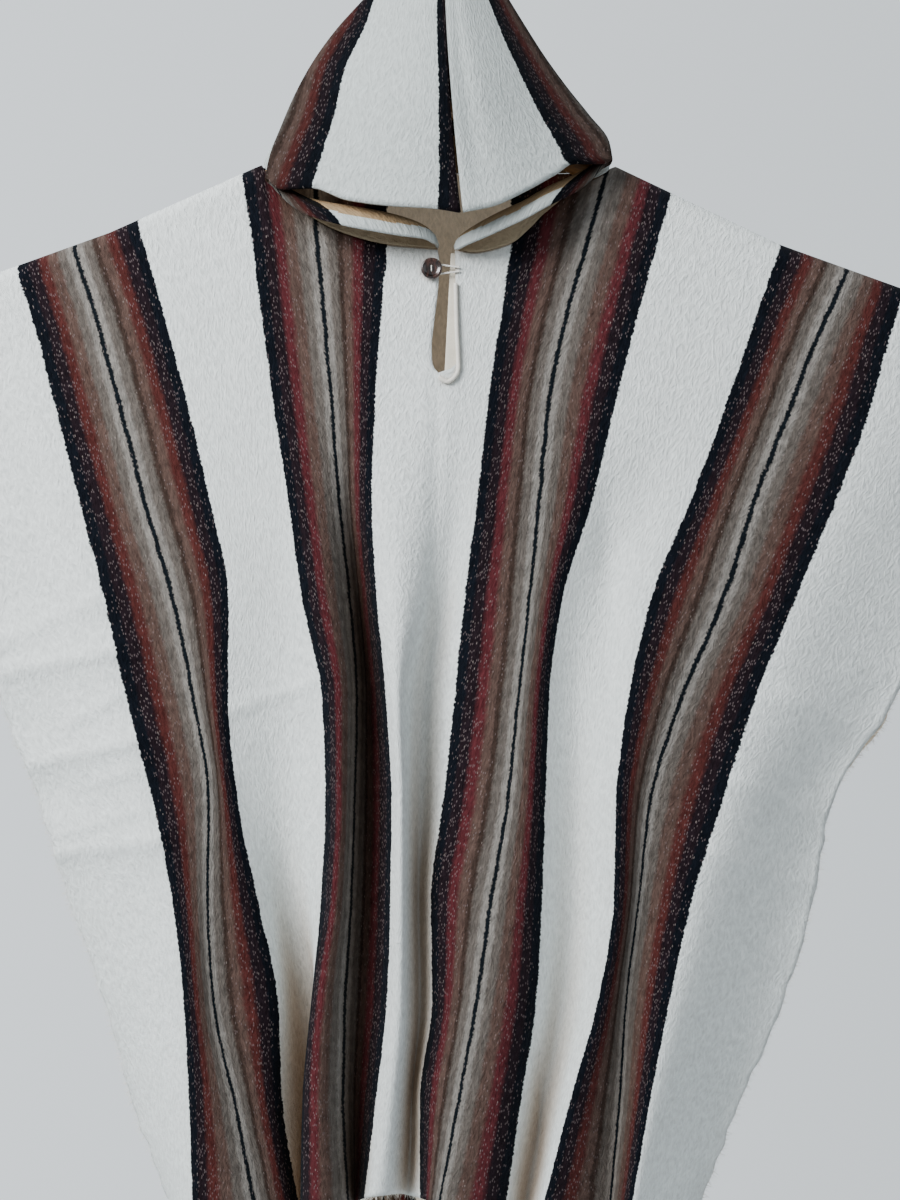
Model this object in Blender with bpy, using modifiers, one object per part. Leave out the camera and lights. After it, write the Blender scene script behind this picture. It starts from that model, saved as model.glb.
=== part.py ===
"""Hooded wool poncho on a clothes hanger, as the maker cuts and sews it.

World: metres, +Z up, +X to the viewer's right, the front of the poncho faces -Y.
The origin is the inside of the top of the hanger's hook. Tables are in millimetres.

The sections are read on an upright plane PLANE_Y. A point nearer or farther than this plane
is drawn together or spread by its distance from a viewer VIEWER away (function `placed`).
"""

import math

import bmesh
import bpy
import numpy as np

MM = 0.001
WELD = 1e-5

# Cloth and clearances (mm)
CLOTH = 2.5
SEAM_GAP = 0.3
SEAM_HALF = 0.15
NECK_EASE = 0.25
NECK_STEP = 1.0
NECK_SIDESTEP = 1.8

# Viewer of the sections (mm)
VIEWER = 1300.0
PLANE_Y = -30.0
EYE_Z = -693.0

# Shoulder line: height at the middle, slope inside and outside of the bend, half circle of the roll (mm)
SHOULDER_BEND = 300.0
SHOULDER_ROLL = 14.0
SHOULDER_FADE = 70.0
SHOULDER = {
    "left": {"middle": -230.0, "inner_slope": 0.445, "outer_slope": 0.36},
    "right": {"middle": -232.0, "inner_slope": 0.475, "outer_slope": 0.36},
}

# Neckline of the front piece, from neck point to neck point (mm)
NECKLINE = (
    # x, z
    (-163, -302.5),
    (-161.5, -309),
    (-158, -316),
    (-152, -323),
    (-120, -349),
    (-90, -364),
    (-50, -374),
    (0, -378),
    (21, -381),
    (59, -373),
    (78, -358),
    (92, -344),
    (125, -321),
    (140, -315),
    (147, -310),
    (150, -303.3),
)
BACK_NECK_SAG = 7.0

# Neck slit: edges of the opening at each height (mm)
SLIT = (
    # z, left x, right x
    (-370, -8, 9),
    (-390, -5, 9),
    (-410, -6, 9.5),
    (-445, -10, 10),
    (-465, -12, 11),
    (-490, -11, 11),
)
SLIT_SPREAD = 60.0
SLIT_FOOT = 9.0

# Front piece. Each warp line is named by its distance from the middle of the cut piece;
# the rows give how far to the side it hangs at each height (mm).
NECK_POINT_LINE = {"left": -161.0, "right": 122.0}
WARP_LINES = (-510, -403, -342, -281, -245, -213, -177, -116, -55, 0, 55, 116, 177, 229, 281, 342, 403, 510)
SHOULDER_ROW = (-495, -381, -329, -273, -241, -212, -180, -114, -50, 0, 61, 144, 204, 252, 301, 359, 410, 507)
FRONT_ROWS = {
    -513: (-472, -351, -291, -231, -204, -181, -154, -100, -61, -7, 40, 94, 156, 205, 255, 313, 387, 489),
    -603: (-447, -328, -268, -210, -186, -164, -140, -94, -64, -9, 30, 85, 134, 178, 222, 279, 354, 462),
    -693: (-418, -305, -242, -193, -170, -150, -127, -85, -59, -15, 19, 76, 106, 145, 186, 250, 317, 435),
    -783: (-398, -285, -224, -194, -165, -138, -109, -79, -51, -30, 10, 66, 94, 129, 166, 212, 281, 405),
    -873: (-366, -262, -211, -186, -158, -134, -106, -81, -46, -31, 0, 57, 91, 124, 155, 185, 252, 348),
    -963: (-339, -244, -212, -168, -148, -128, -110, -84, -47, -31, -11, 42, 88, 121, 153, 174, 224, 330),
    -1053: (-308, -234, -207, -150, -133, -114, -119, -89, -50, -30, -10, 29, 83, 112, 139, 163, 204, 303),
    -1143: (-281, -229, -188, -146, -124, -105, -127, -91, -60, -36, -21, 13, 69, 94, 114, 157, 186, 266),
    -1233: (-249, -226, -170, -145, -120, -100, -129, -87, -71, -42, -21, -4, 56, 77, 91, 149, 170, 230),
}
HALF_WIDTH = 510.0
HEM = {"middle": -1227.0, "corner_drop": 73.0, "power": 1.3}
BACK_HEM_DROP = 6.0
BACK_DRAW_IN = 0.03
BACK_PEEP = {"reach": 14.0, "z": -810.0, "half": 60.0}

# How far the cloth stands off the middle plane at the hem, and at the side edges (mm)
FRONT_STAND = 85.0
BACK_STAND = 60.0
EDGE_STAND = 15.0
EDGE_TURN = 110.0
STAND_LENGTH = 870.0

# Folds: warp line, half width, height where it starts, height where it is full, relief there and at the hem
FRONT_FOLDS = {
    # name: (u, half_width, z_start, z_full, relief_full, relief_hem)
    "left outer ridge": (-385, 50, -700, -1100, 10, 15),
    "left line dip": (-335, 30, -700, -1100, -5, -6),
    "left deep valley": (-229, 48, -620, -1150, -60, -66),
    "left inner ridge": (-150, 34, -480, -800, 20, 33),
    "dark valley": (-100, 30, -480, -760, -34, -30),
    "white ridge": (-32, 28, -500, -800, 24, 12),
    "middle valley": (22, 30, -490, -800, -24, -26),
    "right inner ridge": (140, 60, -520, -1000, 16, 18),
    "right valley": (215, 42, -500, -700, -16, -32),
    "right ridge": (285, 40, -600, -900, 16, 18),
    "right line dip": (342, 30, -900, -1150, -12, -14),
    "right outer ridge": (405, 45, -800, -1100, 12, 15),
}
BACK_FOLDS = {
    "left ridge": (-300, 60, -600, -1000, 18, 26),
    "left valley": (-170, 50, -600, -1000, -14, -22),
    "middle ridge": (-40, 55, -560, -1000, 16, 24),
    "middle valley": (90, 50, -620, -1050, -12, -20),
    "right ridge": (220, 60, -600, -1000, 16, 24),
    "right valley": (370, 50, -700, -1050, -8, -12),
}

# Columns of the two body pieces: from, to, cells
FRONT_COLUMNS = (
    (-510, -403, 4),
    (-403, -281, 5),
    (-281, -245, 3),
    (-245, -213, 2),
    (-213, -177, 3),
    (-177, -161, 1),
    (-161, -157, 2),
    (-157, -147, 2),
    (-147, -55, 6),
    (-55, 0, 4),
    (0, 55, 4),
    (55, 107, 4),
    (107, 118, 2),
    (118, 122, 2),
    (122, 177, 3),
    (177, 281, 6),
    (281, 403, 6),
    (403, 510, 4),
)
BACK_COLUMNS = (
    (-510, -281, 7),
    (-281, -161, 4),
    (-161, -157, 1),
    (-157, 0, 9),
    (0, 118, 9),
    (118, 122, 1),
    (122, 281, 6),
    (281, 510, 7),
)
# Shares of the way down: close rows at the top, then the row where the even ones start
SLIT_ROWS = (0.0, 0.005, 0.014, 0.035, 0.07, 0.10, 0.120, 0.127)
SLIT_END_ROW = 0.1306
FRONT_CELLS_BELOW = 13
BACK_TOP_ROWS = (0.0, 0.005, 0.014, 0.035)
BACK_EVEN_ROW = 0.09
BACK_CELLS_BELOW = 10
FOLD_START = 40.0
STAND_EASE = 1.6
BACK_BLEND = 3.0

# Hood. The fold line runs from the corner of the face opening up to the peak (mm)
HOOD_FOLD = {
    "left": (
        # x, z, y
        (-161, -313, -42),
        (-157, -294, -37),
        (-147, -268, -31),
        (-134, -238, -26),
        (-118, -209, -22),
        (-97, -180, -17),
        (-70, -150, -12),
        (-38, -112, -6),
        (-4.2, -75, 0),
    ),
    "right": (
        (150, -296, -38),
        (147, -281, -34),
        (129, -257, -29),
        (109, -232, -26),
        (88, -203, -22),
        (72, -178, -17),
        (56, -152, -12),
        (32, -112, -6),
        (4.2, -75, 0),
    ),
}
# Upper edge of the face opening, from the corner to the middle seam
UPPER_RIM = {
    "left": ((-161, -313), (-148, -323), (-121, -322), (-88, -333), (-49, -338), (-13, -340), (14, -344)),
    "right": ((150, -296), (145, -300), (117, -300), (100, -310), (71, -326), (44, -338), (14, -344)),
}
# Lower edge of the face opening, from the slit to the corner
LOWER_RIM = {
    "left": ((-8, -373), (-18, -368), (-40, -365), (-64, -361), (-91, -356), (-127, -345), (-148, -329), (-161, -313)),
    "right": ((10, -378), (18, -374), (37, -366), (57, -357), (76, -348), (91, -339.5), (122, -323), (150, -296)),
}
RIM_MIDDLE_Y = -84.0
LOWER_RIM_Y = -64.0
PEAK_Z = -75.0
PEAK_HOLE = 4.2
SEAM_SWING = {"start": -150.0, "end": -344.0, "shift": 14.0, "power": 1.5}
# Front face of the hood: how the middle seam runs back to the peak, and how full the cloth is beside it
FACE = {"rim_back": 6.0, "bend": 0.35, "bend_back": 2.1, "peak_power": 1.6, "fullness": 0.9, "rim_fade": 3}
FACE_VALLEY = {"depth": 4.0, "across": 0.86, "half_width": 0.1, "lead": 0.12}
# Turned-down lip: crest over the neckline, and how it leans out and comes back to the face corner
LIP = {"rest": 3.0, "crest": 30.0, "crest_shift": 0.7, "lean": -4.0, "swell": 1.12, "swell_start": 0.02, "return": 0.5}
LIP_RIM_LIFT = 0.8
# Side and back of the hood: pull of the foot and of the top on the curve between them
WALL = {"along": 0.25, "foot_up": 10.0, "foot_back": 2.0, "top_back": 0.165, "top_down": 0.24}
LIP_TOP_Z = -335.0
LIP_FRONT_Y = -70.0
HOOD_FACE_CELLS = 7
HOOD_WALL_ROWS = 8
HOOD_CORNER_CELLS = 4

# Button, its thread and loop, at the top of the slit (mm)
BUTTON_PLACE = (-12.0, -396.0)
BUTTON_RADIUS = 9.5
BUTTON_THICK = 3.6
BUTTON_HOLE = 1.2
BUTTON_HOLE_STEP = 2.2
BUTTON_STAND = 3.4
BUTTON_SEGMENTS = 24
BUTTON_HOLE_SEGMENTS = 12
BUTTON_PROFILE = (
    # share of the radius, share of the thickness from the back
    (0.0, 0.0),
    (0.72, 0.0),
    (0.95, 0.3),
    (1.0, 0.6),
    (0.94, 0.92),
    (0.84, 1.0),
    (0.72, 0.9),
    (0.55, 0.68),
    (0.0, 0.62),
)
THREAD = {"radius": 0.6, "bend": 0.5, "over": 0.25, "behind": 0.2, "seat": 0.68}
LOOP_RADIUS = 0.9
LOOP_STAND = 0.15
LOOP_HALF = 4.2
LOOP_END_X = 13.0
LOOP_STRAND_CELLS = 7
LOOP_TURN_CELLS = 8
LOOP_SPREAD = {"start": 0.42, "step": 0.12}

# Facing strip behind the slit's right edge, and the rolled binding of that edge (mm)
FACING = {
    "top": -381.0,
    "foot": -492.0,
    "left_top": 5.2,
    "left_foot": -0.5,
    "right": 21.0,
    "thick": 1.6,
    "behind": 0.5,
    "cells": (10, 3),
}
BINDING_RADIUS = 1.9
BINDING_STAND = 0.1
BINDING_CELLS = 16
BINDING = ((9.5, -408), (10, -430), (10.5, -450), (11.5, -470), (12, -484), (8, -493), (1.5, -496.5), (-5, -492))

# Hanger (mm)
ARM_RADIUS = 9.0
ARM_REACH = 232.0
ARM_DIP = 6.0
ARM_HALF_CELLS = 18
WIRE_RADIUS = 2.0
HOOK_RADIUS = 20.0
HOOK_ARC = {"start": 190.0, "step": -15.5, "cells": 16}
HOOK_RETURN = (0.35, 0.7)
STEM_TOP = -46.0
STEM_HEIGHTS = (-50.0, -58.0, -100.0, -160.0)
COLLAR = {"radius": 5.5, "thick": 3.0, "z": -69.0, "swell": 0.3, "swell_at": 0.6, "top": 1.2, "segments": 20}


def pchip(knots, values, at):
    """Smooth curve through the knots that never overshoots; straight beyond both ends."""
    knots = np.asarray(knots, float)
    values = np.asarray(values, float)
    at = np.atleast_1d(np.asarray(at, float))
    step = np.diff(knots)
    slope = np.diff(values) / step
    tangent = np.zeros_like(values)
    for i in range(1, len(knots) - 1):
        if slope[i - 1] * slope[i] > 0:
            w_a = 2 * step[i] + step[i - 1]
            w_b = step[i] + 2 * step[i - 1]
            tangent[i] = (w_a + w_b) / (w_a / slope[i - 1] + w_b / slope[i])
    tangent[0] = slope[0]
    tangent[-1] = slope[-1]
    cell = np.clip(np.searchsorted(knots, at) - 1, 0, len(step) - 1)
    h = step[cell]
    s = (at - knots[cell]) / h
    inside = np.clip(s, 0, 1)
    result = (
        values[cell] * (2 * inside**3 - 3 * inside**2 + 1)
        + h * tangent[cell] * (inside**3 - 2 * inside**2 + inside)
        + values[cell + 1] * (3 * inside**2 - 2 * inside**3)
        + h * tangent[cell + 1] * (inside**3 - inside**2)
    )
    result = result + np.where(s < 0, s * h * tangent[cell], 0.0)
    result = result + np.where(s > 1, (s - 1) * h * tangent[cell + 1], 0.0)
    return result


def curve_at(table, at, x=0, y=1):
    """Value of a table's column y at column x = at."""
    rows = sorted(table, key=lambda row: row[x])
    return float(pchip([row[x] for row in rows], [row[y] for row in rows], at)[0])


def smooth(value):
    """Eased 0 to 1."""
    value = min(max(value, 0.0), 1.0)
    return value * value * (3 - 2 * value)


def placed(x, y, z, round_shoulder=False):
    """World point (mm) of a section point seen at x, z that lies at depth y.

    round_shoulder keeps the roll over the hanger round: its depth counts only further down.
    """
    seen = y * smooth((shoulder_z(x) - z) / SHOULDER_FADE) if round_shoulder else y
    spread = 1 + (seen - PLANE_Y) / VIEWER
    return np.array((x * spread, y, EYE_Z + (z - EYE_Z) * spread))


def shoulder_z(x):
    """Height of the shoulder line, carried on over the neck."""
    side = SHOULDER["left" if x < 0 else "right"]
    inner = min(abs(x), SHOULDER_BEND)
    outer = max(abs(x) - SHOULDER_BEND, 0.0)
    return side["middle"] - side["inner_slope"] * inner - side["outer_slope"] * outer


def front_top_z(x):
    """Height of the front piece's upper edge: neckline or shoulder line."""
    if NECKLINE[0][0] < x < NECKLINE[-1][0]:
        return curve_at(NECKLINE, x)
    return shoulder_z(x)


def back_top_z(x):
    """Height of the back piece's upper edge."""
    left = NECKLINE[0]
    right = NECKLINE[-1]
    if left[0] < x < right[0]:
        part = (x - left[0]) / (right[0] - left[0])
        return left[1] + (right[1] - left[1]) * part - BACK_NECK_SAG * math.sin(math.pi * part)
    return shoulder_z(x)


def folds(table, u, z, hem_z):
    """Relief of all folds at a warp line and height (mm)."""
    total = 0.0
    for centre, half_width, z_start, z_full, full, hem in table.values():
        if z <= z_full:
            size = full + (hem - full) * smooth((z_full - z) / max(z_full - hem_z, 1.0))
        else:
            size = full * smooth((z_start - z) / (z_start - z_full))
        total += size * math.exp(-((u - centre) / half_width) ** 2)
    return total


def stand(u, x, z, low):
    """How far the hanging cloth stands off the middle plane without its folds (mm)."""
    down = max(shoulder_z(x) - z, 0.0)
    roll = math.sqrt(SHOULDER_ROLL**2 - (SHOULDER_ROLL - min(down, SHOULDER_ROLL)) ** 2)
    edge = smooth((HALF_WIDTH - abs(u)) / EDGE_TURN)
    ease = 1 - (1 - min(down / STAND_LENGTH, 1.0)) ** STAND_EASE
    full = EDGE_STAND + (low - EDGE_STAND) * edge
    return roll + (full - SHOULDER_ROLL) * ease


def hem_z(u):
    """Height of the hem at a warp line."""
    return HEM["middle"] - HEM["corner_drop"] * (abs(u) / HALF_WIDTH) ** HEM["power"]


def front_x(u, z, z_top, x_top):
    """How far to the side warp line u hangs at height z."""
    heights = [-z_top]
    places = [x_top]
    for height, row in FRONT_ROWS.items():
        if z_top - height > FOLD_START:
            heights.append(-height)
            places.append(float(pchip(WARP_LINES, row, u)[0]))
    return float(pchip(heights, places, -z)[0])


def slit_edge(z, side):
    """Place of the slit's edge at height z."""
    column = 1 if side < 0 else 2
    return curve_at(SLIT, z, 0, column)


def front_point(u, row, side=0):
    """Section point of the front piece: (x, y, z) in mm."""
    x_top = float(pchip(WARP_LINES, SHOULDER_ROW, u)[0])
    z_top = front_top_z(x_top)
    z = z_top + (hem_z(u) - z_top) * row
    x = front_x(u, z, z_top, x_top)
    if row < SLIT_END_ROW - 1e-6 and abs(u) < SLIT_SPREAD:
        side = side or (-1 if u < 0 else 1)
        middle = front_x(0, z, front_top_z(0.0), 0.0)
        end = z_top + (hem_z(u) - z_top) * SLIT_END_ROW
        opened = math.sqrt(min(max((z - end) / SLIT_FOOT, 0.0), 1.0))
        x += (slit_edge(z, side) - middle) * opened * (1 - abs(u) / SLIT_SPREAD) ** 2
    relief = stand(u, x, z, FRONT_STAND) + folds(FRONT_FOLDS, u, z, hem_z(u))
    return (x, -relief, z)


def back_point(u, row):
    """Section point of the back piece."""
    x_top = float(pchip(WARP_LINES, SHOULDER_ROW, u)[0])
    z_top = back_top_z(x_top)
    z = z_top + (hem_z(u) - BACK_HEM_DROP - z_top) * row
    edge_line = math.copysign(HALF_WIDTH, u if u else 1.0)
    edge_top = SHOULDER_ROW[0] if u < 0 else SHOULDER_ROW[-1]
    edge_z = shoulder_z(edge_top)
    edge = front_x(edge_line, min(z, edge_z), edge_z, edge_top)
    peep = BACK_PEEP["reach"] * math.exp(-((z - BACK_PEEP["z"]) / BACK_PEEP["half"]) ** 2) if u > 0 else 0.0
    blend = smooth(row * BACK_BLEND)
    share = x_top / edge_top + (u / edge_line - x_top / edge_top) * blend
    x = (edge * (1 - BACK_DRAW_IN * blend) + peep) * share
    relief = stand(u, x, z, BACK_STAND) + folds(BACK_FOLDS, u, z, hem_z(u))
    return (x, relief, z)


def columns(table):
    """Warp lines of a table of (from, to, cells)."""
    lines = [float(table[0][0])]
    for start, end, cells in table:
        lines += [start + (end - start) * (i + 1) / cells for i in range(cells)]
    return lines


def rows(top, start, cells):
    """Rows of a piece: the close ones at the top, then even ones from start down to the hem."""
    return list(top) + [start + (1 - start) * i / cells for i in range(cells + 1)]


def seam_x(z):
    """Place of the hood's middle seam on the front, at height z (world, mm)."""
    part = (z - SEAM_SWING["start"]) / (SEAM_SWING["end"] - SEAM_SWING["start"])
    return SEAM_SWING["shift"] * max(part, 0.0) ** SEAM_SWING["power"]


def upright_share(x, z, low):
    """Upright share of the body cloth's normal beside the neckline."""
    slope = stand(0, x, z - 1.0, low) - stand(0, x, z, low)
    return abs(slope) / math.hypot(slope, 1.0)


def neck_point(u, front, side=0):
    """Foot of the hood at a warp line, lifted off the body's edge (world mm)."""
    x, y, z = front_point(u, 0.0, side) if front else back_point(u, 0.0)
    share = upright_share(x, z, FRONT_STAND if front else BACK_STAND)
    foot = placed(x, y, z, True)
    foot[2] += SEAM_GAP + NECK_EASE + (CLOTH / 2 + NECK_STEP) * share
    if front:
        rise = curve_at(NECKLINE, x + 1.0) - curve_at(NECKLINE, x - 1.0)
        steep = abs(rise) / math.hypot(rise, 2.0)
        foot[0] -= math.copysign(NECK_SIDESTEP * smooth((steep - 0.6) / 0.25), x)
    return foot


def polyline_point(points, part):
    """Point at a share of the length of a smooth line through the points."""
    points = np.asarray(points, float)
    along = np.concatenate(([0.0], np.cumsum(np.linalg.norm(np.diff(points, axis=0), axis=1))))
    at = along[-1] * part
    return np.array([float(pchip(along, points[:, k], at)[0]) for k in range(points.shape[1])])


def bezier(a, b, c, d, t):
    """Point of a cubic between four points."""
    s = 1 - t
    return a * s**3 + b * 3 * s * s * t + c * 3 * s * t * t + d * t**3


def hood_fold_point(side, part):
    """Point of the hood's fold line, 0 at the face corner and 1 at the peak."""
    x, z, y = polyline_point(HOOD_FOLD[side], part)
    return placed(x, y, z)


def hood_face_point(side, part, across):
    """Front of the hood: part along the fold line, across 0 at the fold line and 1 at the seam."""
    sign = -1 if side == "left" else 1
    x, z, y = polyline_point(HOOD_FOLD[side], part)
    start = np.array((x, y, z))
    height = UPPER_RIM[side][-1][1] + (PEAK_Z - UPPER_RIM[side][-1][1]) * part
    forward = RIM_MIDDLE_Y + FACE["rim_back"] * part
    if part > FACE["bend"]:
        bent = RIM_MIDDLE_Y + FACE["bend_back"]
        forward = bent + (-PEAK_HOLE - bent) * ((part - FACE["bend"]) / (1 - FACE["bend"])) ** FACE["peak_power"]
    seam = np.array((seam_x(height) + sign * SEAM_HALF, forward, height))
    point = start + (seam - start) * across
    bulge = math.sin(math.pi / 2 * across) - across
    point[1] += (forward - start[1]) * bulge * FACE["fullness"]
    rim = polyline_point(UPPER_RIM[side], across)
    straight = np.array(UPPER_RIM[side][0]) + (np.array(UPPER_RIM[side][-1]) - np.array(UPPER_RIM[side][0])) * across
    fade = (1 - part) ** FACE["rim_fade"]
    point[0] += (rim[0] - straight[0]) * fade
    point[2] += (rim[1] - straight[1]) * fade
    if side == "right":
        along = math.sin(math.pi * min(part + FACE_VALLEY["lead"], 1.0))
        away = (across - FACE_VALLEY["across"]) / FACE_VALLEY["half_width"]
        point[1] += FACE_VALLEY["depth"] * math.exp(-(away**2)) * along
    return placed(*point)


def neck_lines(side):
    """Warp lines whose tops carry the hood: on the front, at the neck point, on the back."""
    sign = -1 if side == "left" else 1
    neck_u = NECK_POINT_LINE[side]
    front = [u for u in columns(FRONT_COLUMNS) if 0 <= sign * u < abs(neck_u)]
    back = [u for u in columns(BACK_COLUMNS) if 0 <= sign * u < abs(neck_u)]
    return sorted(front, key=abs), neck_u, sorted(back, key=abs, reverse=True)


def hood_lip_point(side, foot, part, up):
    """Turned-down front edge of the hood: part 0 at the slit, 1 at the face corner."""
    corner = hood_fold_point(side, 0.0)
    x, z = polyline_point(LOWER_RIM[side], part)
    near = foot[1] - LIP["rest"]
    swell = math.sin(math.pi * min(part * LIP["swell"] + LIP["swell_start"], 1.0))
    depth = near + (LOWER_RIM_Y - near) * math.sqrt(swell)
    if part > LIP["return"]:
        depth = depth + (corner[1] - depth) * smooth((part - LIP["return"]) / (1 - LIP["return"]))
    rim = placed(x, depth, z)
    crest = LIP["rest"]
    if 0 < part < 1:
        shift = LIP["crest_shift"]
        crest += LIP["crest"] * math.sin(math.pi * part**shift) ** shift
    lift = np.array((0.0, 0.0, crest))
    lean = np.array((0.0, LIP["lean"], 0.0)) * math.sin(math.pi * part)
    return bezier(foot, foot + lift, rim + lift * LIP_RIM_LIFT + lean, rim, up)


def hood_wall_point(foot, top, up):
    """Side and back of the hood, from a foot on the neckline to a point of the fold line."""
    length = float(np.linalg.norm(top - foot))
    rise = (top - foot) * WALL["along"]
    rise[1] = WALL["foot_back"]
    rise[2] += WALL["foot_up"]
    behind = np.array((0.0, WALL["top_back"], -WALL["top_down"])) * length
    return bezier(foot, foot + rise, top + behind, top, up)


def material(name, colour, rough=0.9, metal=0.0):
    """Plain material."""
    found = bpy.data.materials.get(name)
    if found:
        return found
    made = bpy.data.materials.new(name)
    made.use_nodes = True
    shader = made.node_tree.nodes["Principled BSDF"]
    shader.inputs["Base Color"].default_value = (*colour, 1.0)
    shader.inputs["Roughness"].default_value = rough
    shader.inputs["Metallic"].default_value = metal
    return made


def add_object(name, mesh, look):
    """Object of a mesh in the poncho's collection, smooth and in its material."""
    made = bpy.data.objects.new(name, mesh)
    PONCHO.objects.link(made)
    mesh.materials.clear()
    mesh.materials.append(look)
    for face in mesh.polygons:
        face.use_smooth = True
    return made


def evaluated(made):
    """Replace an object's mesh by its mesh with all modifiers."""
    bpy.context.view_layer.update()
    graph = bpy.context.evaluated_depsgraph_get()
    mesh = bpy.data.meshes.new_from_object(made.evaluated_get(graph))
    made.modifiers.clear()
    made.data = mesh
    return mesh


def cloth_piece(name, verts, faces, thick, look, limit=None):
    """Wall of cloth on a sheet of points; limit keeps its edges on their side of a seam."""
    mesh = bpy.data.meshes.new(name)
    mesh.from_pydata([tuple(v) for v in verts], [], faces)
    mesh.validate()
    made = add_object(name, mesh, look)
    wall = made.modifiers.new("Wall", "SOLIDIFY")
    wall.thickness = thick * MM
    wall.offset = 0.0
    wall.use_quality_normals = True
    mesh = evaluated(made)
    if limit:
        for vert in mesh.vertices:
            vert.co = limit(vert.co)
    for face in mesh.polygons:
        face.use_smooth = True
    return made


class Sheet:
    """Points and faces of a sheet of cloth, welded where keys repeat."""

    def __init__(self):
        self.verts = []
        self.faces = []
        self.keys = {}

    def vert(self, key, point):
        """Index of the vertex with this key, made on first use."""
        if key not in self.keys:
            self.keys[key] = len(self.verts)
            self.verts.append(np.asarray(point) * MM)
        return self.keys[key]

    def quad(self, a, b, c, d):
        """One face."""
        face = []
        for index in (a, b, c, d):
            if index not in face:
                face.append(index)
        if len(face) > 2:
            self.faces.append(tuple(face))


def build_front(look):
    """Front body piece with its neckline and slit."""
    sheet = Sheet()
    lines = columns(FRONT_COLUMNS)
    steps = rows(SLIT_ROWS, SLIT_END_ROW, FRONT_CELLS_BELOW)
    middle = lines.index(0.0)
    slit_rows = len(SLIT_ROWS)

    def corner(column, row, side):
        split = column == middle and row < slit_rows
        key = (column, row, side if split else 0)
        return sheet.vert(key, placed(*front_point(lines[column], steps[row], side if split else 0), True))

    for column in range(len(lines) - 1):
        for row in range(len(steps) - 1):
            side = -1 if column < middle else 1
            sheet.quad(
                corner(column, row, side),
                corner(column, row + 1, side),
                corner(column + 1, row + 1, side),
                corner(column + 1, row, side),
            )

    def limit(point):
        point.y = min(point.y, -SEAM_HALF * MM)
        return point

    return cloth_piece("body_front", sheet.verts, sheet.faces, CLOTH, look, limit)


def build_back(look):
    """Back body piece."""
    sheet = Sheet()
    lines = columns(BACK_COLUMNS)
    steps = rows(BACK_TOP_ROWS, BACK_EVEN_ROW, BACK_CELLS_BELOW)
    for column in range(len(lines) - 1):
        for row in range(len(steps) - 1):
            corners = []
            for c, r in ((column, row), (column + 1, row), (column + 1, row + 1), (column, row + 1)):
                corners.append(sheet.vert((c, r), placed(*back_point(lines[c], steps[r]), True)))
            sheet.quad(*corners)

    def limit(point):
        point.y = max(point.y, SEAM_HALF * MM)
        return point

    return cloth_piece("body_back", sheet.verts, sheet.faces, CLOTH, look, limit)


def build_hood(side, look):
    """One half of the hood: front face, turned-down lip, side and back in one piece of cloth."""
    sheet = Sheet()
    sign = -1 if side == "left" else 1
    front, neck_u, back = neck_lines(side)
    lips = front[:-HOOD_CORNER_CELLS]
    lip_feet = [neck_point(u, True, sign) for u in lips]
    feet = [neck_point(u, True) for u in front[-HOOD_CORNER_CELLS:] + [neck_u]]
    feet += [neck_point(u, False) for u in back]
    feet[-1][0] = sign * SEAM_HALF
    cells = len(feet) - 2
    span = feet[0][0] - lip_feet[0][0]

    def face(i, j):
        if j == 0:
            return wall(i, HOOD_WALL_ROWS)
        return sheet.vert(("face", i, j), hood_face_point(side, i / cells, j / HOOD_FACE_CELLS))

    def wall(i, row):
        up = row / HOOD_WALL_ROWS
        if i < 0:
            foot = lip_feet[i]
            part = (foot[0] - lip_feet[0][0]) / span
            return sheet.vert(("wall", i, row), hood_lip_point(side, foot, part, up))
        top = hood_fold_point(side, min(i / cells, 1.0))
        if i > cells:
            top = placed(0.0, PEAK_HOLE, PEAK_Z)
            top[0] = sign * SEAM_HALF
        return sheet.vert(("wall", i, row), hood_wall_point(feet[i], top, up))

    for i in range(cells):
        for j in range(HOOD_FACE_CELLS):
            sheet.quad(face(i, j), face(i, j + 1), face(i + 1, j + 1), face(i + 1, j))
    for i in range(-len(lips), cells + 1):
        for row in range(HOOD_WALL_ROWS):
            sheet.quad(wall(i, row), wall(i, row + 1), wall(i + 1, row + 1), wall(i + 1, row))

    def limit(point):
        x, y, z = np.array(point) / MM
        edge = (seam_x(z) if y < 0 else 0.0) + sign * SEAM_HALF
        beside_seam = z > LIP_TOP_Z or y > 0 or y < LIP_FRONT_Y
        if beside_seam and sign * (x - edge) < 0:
            point.x = edge * MM
        return point

    return cloth_piece("hood_" + side, sheet.verts, sheet.faces, CLOTH, look, limit)


def front_y(x, z):
    """Depth of the front piece's middle sheet near the slit, where its warp lines hang straight (section mm)."""
    return -(stand(x, x, z, FRONT_STAND) + folds(FRONT_FOLDS, x, z, HEM["middle"]))


def build_facing(look):
    """Facing strip that underlaps the slit from its right edge."""
    sheet = Sheet()
    long_cells, wide_cells = FACING["cells"]
    behind = CLOTH / 2 + SEAM_GAP + FACING["thick"] / 2 + FACING["behind"]
    for i in range(long_cells):
        for j in range(wide_cells):
            corners = []
            for a, b in ((i, j), (i + 1, j), (i + 1, j + 1), (i, j + 1)):
                part = a / long_cells
                z = FACING["top"] + (FACING["foot"] - FACING["top"]) * part
                left = FACING["left_top"] + (FACING["left_foot"] - FACING["left_top"]) * part
                x = left + (FACING["right"] - left) * b / wide_cells
                corners.append(sheet.vert((a, b), placed(x, front_y(x, z) + behind, z)))
            sheet.quad(*corners)
    return cloth_piece("slit_facing", sheet.verts, sheet.faces, FACING["thick"], look)


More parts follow.
